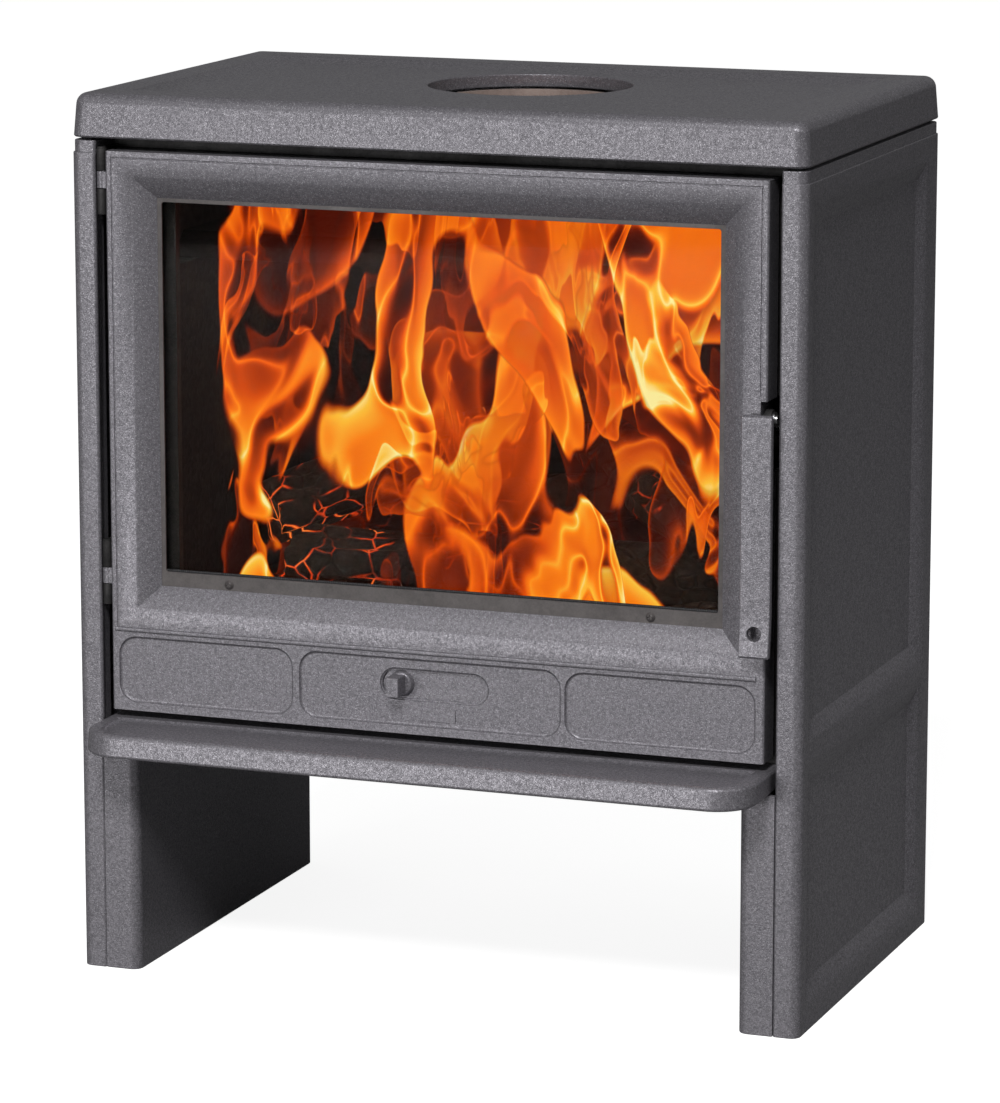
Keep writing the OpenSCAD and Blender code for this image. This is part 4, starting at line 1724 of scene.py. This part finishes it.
@dataclass
class AirControl:
    """The air slide behind the slot and its square-headed knob."""

    boss: float = 11.3 * MM
    head_deep: float = 16.5 * MM
    head_x: tuple[float, float] = (-6.6 * MM, 4.9 * MM)
    head_z: float = 8.2 * MM

    def knob(self) -> bpy.types.Object:
        """Models the knob.

        Returns:
            The knob's object.
        """
        low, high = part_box("air_knob")
        x, z = (low.x + high.x) / 2, (low.z + high.z) / 2
        shoulder = low.y + self.head_deep
        boss = Shape.rod((x, shoulder, z), 1, high.y - shoulder, self.boss * 0.86, self.boss, 40)
        boss.bevel(lambda e: lies_at(e, 1, shoulder), 1.4 * MM, 4)
        head = Shape.box(
            (x + self.head_x[0], low.y, z - self.head_z),
            (x + self.head_x[1], shoulder + 1 * MM, z + self.head_z),
        )
        head.bevel(lambda e: True, 0.9 * MM, 3)
        return boss.add(head).to_object("air_knob_casting")

    def slide(self) -> bpy.types.Object:
        """Models the slide plate.

        Returns:
            The plate's object.
        """
        low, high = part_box("air_slide")
        plate = Shape.box(low, high).bevel(lambda e: runs_along(e, 1), 4 * MM, 4)
        return plate.to_object("air_slide_plate")

    def dress(self, finishes: Finishes) -> None:
        """Builds, paints and places the knob and the slide."""
        settle(soften(self.knob(), 0.0, angle=40.0), finishes.paint, Body.AIR, Slot.PAINT, "air_knob")
        settle(soften(self.slide(), 0.3 * MM), finishes.paint, Body.AIR, Slot.PAINT, "air_slide")


@dataclass
class Lever:
    """The door lever: a flat bar that kicks outward near its foot, with a tool hole."""

    kink: float = 352 * MM
    kick: float = 4 * MM
    top_round: float = 4 * MM
    foot_round: float = 1.2 * MM
    hole: tuple[float, float] = (283 * MM, 338 * MM)
    hole_r: float = 5.75 * MM

    def build(self) -> bpy.types.Object:
        """Models the lever.

        Returns:
            The lever's object.
        """
        low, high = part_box("door_handle")
        near = low.y + self.kick
        far = high.y
        outline = [
            (near, self.kink),
            (near, high.z - self.top_round),
            (near + self.top_round * 0.3, high.z - self.top_round * 0.3),
            (near + self.top_round, high.z),
            (far - 1 * MM, high.z),
            (far, high.z - 2 * MM),
            (far, self.kink),
            (far - self.kick, low.z),
            (low.y, low.z),
        ]
        bar = Shape.prism(outline, 0, low.x, high.x)
        bar.bevel(lambda e: lies_at(e, 2, low.z) and runs_along(e, 0), self.foot_round, 3)
        lever = bar.to_object("lever_casting")
        hole = Shape.rod((self.hole[0], low.y - 0.01, self.hole[1]), 1, 0.03, self.hole_r, sides=48)
        return work(lever, [hole])

    def dress(self, finishes: Finishes) -> None:
        """Builds, paints and places the lever."""
        lever = soften(self.build(), 0.9 * MM, 3, 30.0)
        settle(lever, finishes.paint, Body.LATCH, Slot.PAINT, "door_handle")


# ---- Fire ------------------------------------------------------------------------------


@dataclass
class Fire:
    """The burning logs, their bed of embers and the flames over them."""

    half_x: float = 0.232

    def __post_init__(self) -> None:
        """Takes the firebox's inside from the frame."""
        self.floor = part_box("firebox_floor")[1].z + 3 * MM
        self.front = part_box("log_guard")[1].y + 6 * MM
        self.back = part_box("back_fire_brick")[0].y - 8 * MM
        self.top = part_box("baffle_plate")[0].z - 6 * MM
        self.mouth_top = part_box("air_wash_duct")[0].z - 4 * MM

    def log(self, name: str, start: Point, end: Point, radius: float, seed: float) -> bpy.types.Object:
        """Models one split, charred log.

        Args:
            name: The piece's name.
            start: The middle of its first end.
            end: The middle of its second end.
            radius: Its mean radius.
            seed: Sets it apart from the other logs.

        Returns:
            The log's object.
        """
        a, b = Vector(start), Vector(end)
        way = b - a
        shape = Shape()
        bmesh.ops.create_cone(
            shape.bm, cap_ends=True, segments=36, radius1=radius, radius2=radius * 0.9, depth=way.length
        )
        sides = [e for e in shape.bm.edges if runs_along(e, 2, 0.5)]
        bmesh.ops.subdivide_edges(shape.bm, edges=sides, cuts=26, use_grid_fill=True)
        caps = [f for f in shape.bm.faces if len(f.verts) > 6]
        bmesh.ops.inset_individual(shape.bm, faces=caps, thickness=radius * 0.3)
        for vert in shape.bm.verts:
            out = Vector((vert.co.x, vert.co.y, 0.0))
            angle = math.atan2(vert.co.y, vert.co.x)
            flat = 1.0 - 0.28 * max(0.0, math.cos(angle - seed)) ** 3
            bark = Vector((math.cos(angle) * 3.2, math.sin(angle) * 3.2, vert.co.z * 9 + seed * 5))
            ridges = noise.noise(bark)
            knots = noise.noise(Vector((vert.co.x * 18, vert.co.y * 18, vert.co.z * 16 + seed)))
            vert.co += out * ((flat - 1.0) + 0.22 * ridges + 0.16 * knots)
            vert.co.z += 0.006 * noise.noise(vert.co * 60)
        turn = way.to_track_quat("Z", "Y").to_matrix().to_4x4()
        bmesh.ops.transform(shape.bm, matrix=Matrix.Translation((a + b) / 2) @ turn, verts=shape.bm.verts)
        bmesh.ops.recalc_face_normals(shape.bm, faces=shape.bm.faces)
        piece = shape.to_object(name)
        for face in piece.data.polygons:
            face.use_smooth = True
        return piece

    def embers(self) -> bpy.types.Object:
        """Models the bed of embers.

        Returns:
            The bed's object.
        """
        shape = Shape()
        depth = (self.back - self.front) / 2
        place = Matrix.Translation((0, (self.back + self.front) / 2, self.floor)) @ Matrix.Diagonal(
            (self.half_x, depth, 1, 1)
        )
        bmesh.ops.create_grid(shape.bm, x_segments=110, y_segments=70, size=1.0, matrix=place)
        for vert in shape.bm.verts:
            lump = noise.noise(vert.co * 42) * 0.008 + noise.noise(vert.co * 15) * 0.014
            side = min(1.0, (self.half_x - abs(vert.co.x)) / 0.03)
            vert.co.z += max(0.0, (0.016 + lump) * max(0.0, side))
        bmesh.ops.recalc_face_normals(shape.bm, faces=shape.bm.faces)
        piece = shape.to_object("ember_bed")
        for face in piece.data.polygons:
            face.use_smooth = True
        return piece

    def flame(self, name: str, depth: float, half: float, top: float) -> bpy.types.Object:
        """Models one sheet of flame.

        Args:
            name: The piece's name.
            depth: Where it stands, from the front to the back.
            half: Half its width.
            top: How high it reaches.

        Returns:
            The sheet's object.
        """
        shape = Shape()
        height = (top - self.floor) / 2
        place = (
            Matrix.Translation((0, depth, self.floor + height))
            @ Matrix.Rotation(math.pi / 2, 4, "X")
            @ Matrix.Diagonal((half, height, 1, 1))
        )
        bmesh.ops.create_grid(shape.bm, x_segments=36, y_segments=28, size=1.0, matrix=place)
        for vert in shape.bm.verts:
            vert.co.y += 0.005 * noise.noise(vert.co * 9)
        piece = shape.to_object(name)
        for face in piece.data.polygons:
            face.use_smooth = True
        return piece

    def dress(self, finishes: Finishes) -> None:
        """Builds the logs, the embers and the flames.

        Args:
            finishes: The stove's materials.
        """
        f, y0, y1 = self.floor, self.front, self.back
        mid = (y0 + y1) / 2
        logs = [
            ((-0.20, mid + 0.03, f + 0.045), (0.19, mid + 0.06, f + 0.05), 0.042, 0.4),
            ((-0.17, y0 + 0.06, f + 0.036), (0.05, y0 + 0.075, f + 0.040), 0.032, 2.1),
            ((0.03, y0 + 0.055, f + 0.034), (0.20, y0 + 0.10, f + 0.038), 0.030, 3.3),
            ((-0.19, y0 + 0.05, f + 0.075), (-0.02, y1 - 0.05, f + 0.135), 0.030, 4.0),
            ((0.20, y0 + 0.07, f + 0.075), (0.04, y1 - 0.06, f + 0.14), 0.032, 5.2),
            ((-0.05, y0 + 0.075, f + 0.085), (0.13, y1 - 0.10, f + 0.10), 0.026, 1.3),
        ]
        for index, (start, end, radius, seed) in enumerate(logs):
            piece = self.log(f"log_{index + 1}", start, end, radius, seed)
            settle(piece, finishes.log, Body.STOVE, Slot.BRICK)
        settle(self.embers(), finishes.ember, Body.STOVE, Slot.BRICK)
        hot = (
            (-0.19, 0.38, 0.12),
            (0.17, 0.40, 0.17),
            (0.21, 0.60, 0.18),
            (-0.06, 0.50, 0.12),
        )
        sheets = (
            (Flame("flame_1", 1.7, 0.522, hot), y0 + 0.002, self.half_x + 0.017, self.mouth_top),
            (Flame("flame_2", 4.9, 0.505, hot, 1.0, 8.0), y0 + 0.030, self.half_x, self.mouth_top),
            (Flame("flame_3", 8.2, 0.515, (), 0.7, 6.0, self.top), y0 + 0.10, self.half_x, self.top),
            (Flame("flame_4", 11.9, 0.52, (), 0.5, 6.0, self.top), y0 + 0.18, self.half_x, self.top),
        )
        for index, (flame, depth, half, top) in enumerate(sheets):
            sheet = self.flame(f"flame_sheet_{index + 1}", depth, half, top)
            settle(sheet, flame.make(finishes.effects), Body.STOVE, Slot.BRICK)


# ---- Frame nodes that stay ---------------------------------------------------------------


@dataclass(frozen=True)
class KeptNodes:
    """The frame's own pieces that are shown as they are, with rounded edges."""

    iron: tuple[str, ...] = (
        # The front frame takes the dark iron as painted shade in the gaps round the door.
        "front_frame",
        "base_plate",
        "firebox_left_wall",
        "firebox_right_wall",
        "firebox_back",
        "firebox_roof",
        "firebox_floor",
        "air_wash_duct",
        "log_guard",
        "grate",
        "ash_pit",
        "panel_spacers",
        "upper_hinge_bracket",
        "lower_hinge_bracket",
        "upper_hinge_pin",
        "lower_hinge_pin",
        "latch_catch",
        "latch_hook",
        "air_slide_guides",
        "air_chamber_cover",
    )
    sheet: tuple[str, ...] = (
        "bottom_heat_shield",
        "ash_pan",
        "rear_heat_shield",
        "rear_shield_spacers",
        "glass_clips",
    )
    bright: tuple[str, ...] = (
        "flue_collar_bolts",
        "rear_tie_rods",
        "rear_shield_screws",
        "latch_roller",
        "latch_pin",
        "glass_clip_screws",
    )
    brick: tuple[str, ...] = ("left_fire_brick", "right_fire_brick", "back_fire_brick", "baffle_plate")
    rope: tuple[str, ...] = ("lid_pads", "glass_gasket", "door_gasket")

    def dress(self, finishes: Finishes) -> None:
        """Gives every kept node its material and soft edges.

        Args:
            finishes: The stove's materials.
        """
        table = (
            (self.iron, finishes.iron, 0.5 * MM),
            (self.sheet, finishes.sheet, 0.25 * MM),
            (self.bright, finishes.bright, 0.3 * MM),
            (self.brick, finishes.brick, 1.0 * MM),
            (self.rope, finishes.rope, 1.4 * MM),
            (("door_glass",), finishes.glass, 0.4 * MM),
            (("flue_collar",), finishes.collar, 0.6 * MM),
        )
        for names, material, width in table:
            for name in names:
                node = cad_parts[name]
                node.data.materials.clear()
                node.data.materials.append(material)
                weld = node.modifiers.new("weld", "WELD")
                weld.merge_threshold = 1e-5
                edge = node.modifiers.new("edges", "BEVEL")
                edge.width, edge.segments, edge.limit_method = width, 2, "ANGLE"
                edge.angle_limit = math.radians(35.0)
                LOG.info("kept %s", name)


# ---- Stage -----------------------------------------------------------------------------


@dataclass(frozen=True)
class Softbox:
    """One soft studio light."""

    name: str
    place: Point
    aim: Point
    width: float
    height: float
    power: float

    def build(self) -> None:
        """Adds the light to the scene."""
        data = bpy.data.lights.new(self.name, "AREA")
        data.shape, data.size, data.size_y = "RECTANGLE", self.width, self.height
        data.energy = self.power
        light = bpy.data.objects.new(self.name, data)
        light.location = self.place
        way = Vector(self.aim) - Vector(self.place)
        light.rotation_euler = way.to_track_quat("-Z", "Y").to_euler()
        bpy.context.scene.collection.objects.link(light)


@dataclass
class Studio:
    """The floor, the lights and the camera."""

    lights: tuple[Softbox, ...] = (
        Softbox("key", (0.9, -5.6, 5.4), (0.0, -0.1, 0.35), 1.7, 1.4, 388.0),
        Softbox("front_fill", (-1.5, -4.5, 0.6), (0.0, -0.1, 0.1), 2.0, 0.7, 57.0),
        Softbox("side_fill", (3.6, -0.9, 2.6), (0.3, 0.0, 0.25), 1.8, 1.6, 14.0),
    )
    sky: float = 0.17
    floor_reach: float = 40.0
    floor_glow: float = 0.88
    camera_place: Point = (1.4708, -3.9537, 1.1951)
    camera_turn: float = 0.3559
    camera_tilt: float = -0.1969
    camera_lens: float = 164.7

    def floor(self) -> None:
        """Adds the pale floor."""
        shape = Shape()
        bmesh.ops.create_grid(shape.bm, x_segments=2, y_segments=2, size=self.floor_reach)
        piece = shape.to_object("studio_floor")
        material, g, shader, _ = new_material("studio_floor")
        seen = g.node("ShaderNodeLightPath").outputs["Is Camera Ray"]
        g.put(shader.inputs["Base Color"], g.mix(seen, rgb(132, 132, 132), rgb(196, 196, 196)))
        g.put(shader.inputs["Emission Color"], g.mix(seen, (0.0, 0.0, 0.0, 1.0), (1.0, 1.0, 1.0, 1.0)))
        shader.inputs["Emission Strength"].default_value = self.floor_glow
        shader.inputs["Roughness"].default_value = 0.9
        shader.inputs["Specular IOR Level"].default_value = 0.1
        piece.data.materials.append(material)

    def build(self) -> None:
        """Sets the whole stage."""
        self.floor()
        for light in self.lights:
            light.build()
        scene = bpy.context.scene
        world = bpy.data.worlds.new("studio")
        world.use_nodes = True
        background = world.node_tree.nodes["Background"]
        background.inputs[0].default_value = (1.0, 1.0, 1.0, 1.0)
        background.inputs[1].default_value = self.sky
        scene.world = world
        scene.view_settings.view_transform = "Standard"
        data = bpy.data.cameras.new("camera")
        data.lens, data.sensor_width = self.camera_lens, 36.0
        camera = bpy.data.objects.new("camera", data)
        camera.location = self.camera_place
        camera.rotation_euler = (math.pi / 2 + self.camera_tilt, 0.0, self.camera_turn)
        scene.collection.objects.link(camera)
        scene.camera = camera


def main() -> None:
    """Builds the stove, its finishes and the studio, in order."""
    logging.basicConfig(level=logging.INFO, format="%(name)s: %(message)s")
    Studio().build()
    finishes = Finishes(Effects())
    for part in (
        Lid(),
        SidePanels(),
        Legs(),
        Shelf(),
        Door(),
        GlassTrim(),
        AirControl(),
        Lever(),
        Fire(),
        KeptNodes(),
    ):
        part.dress(finishes)


if __name__ == "__main__":
    main()
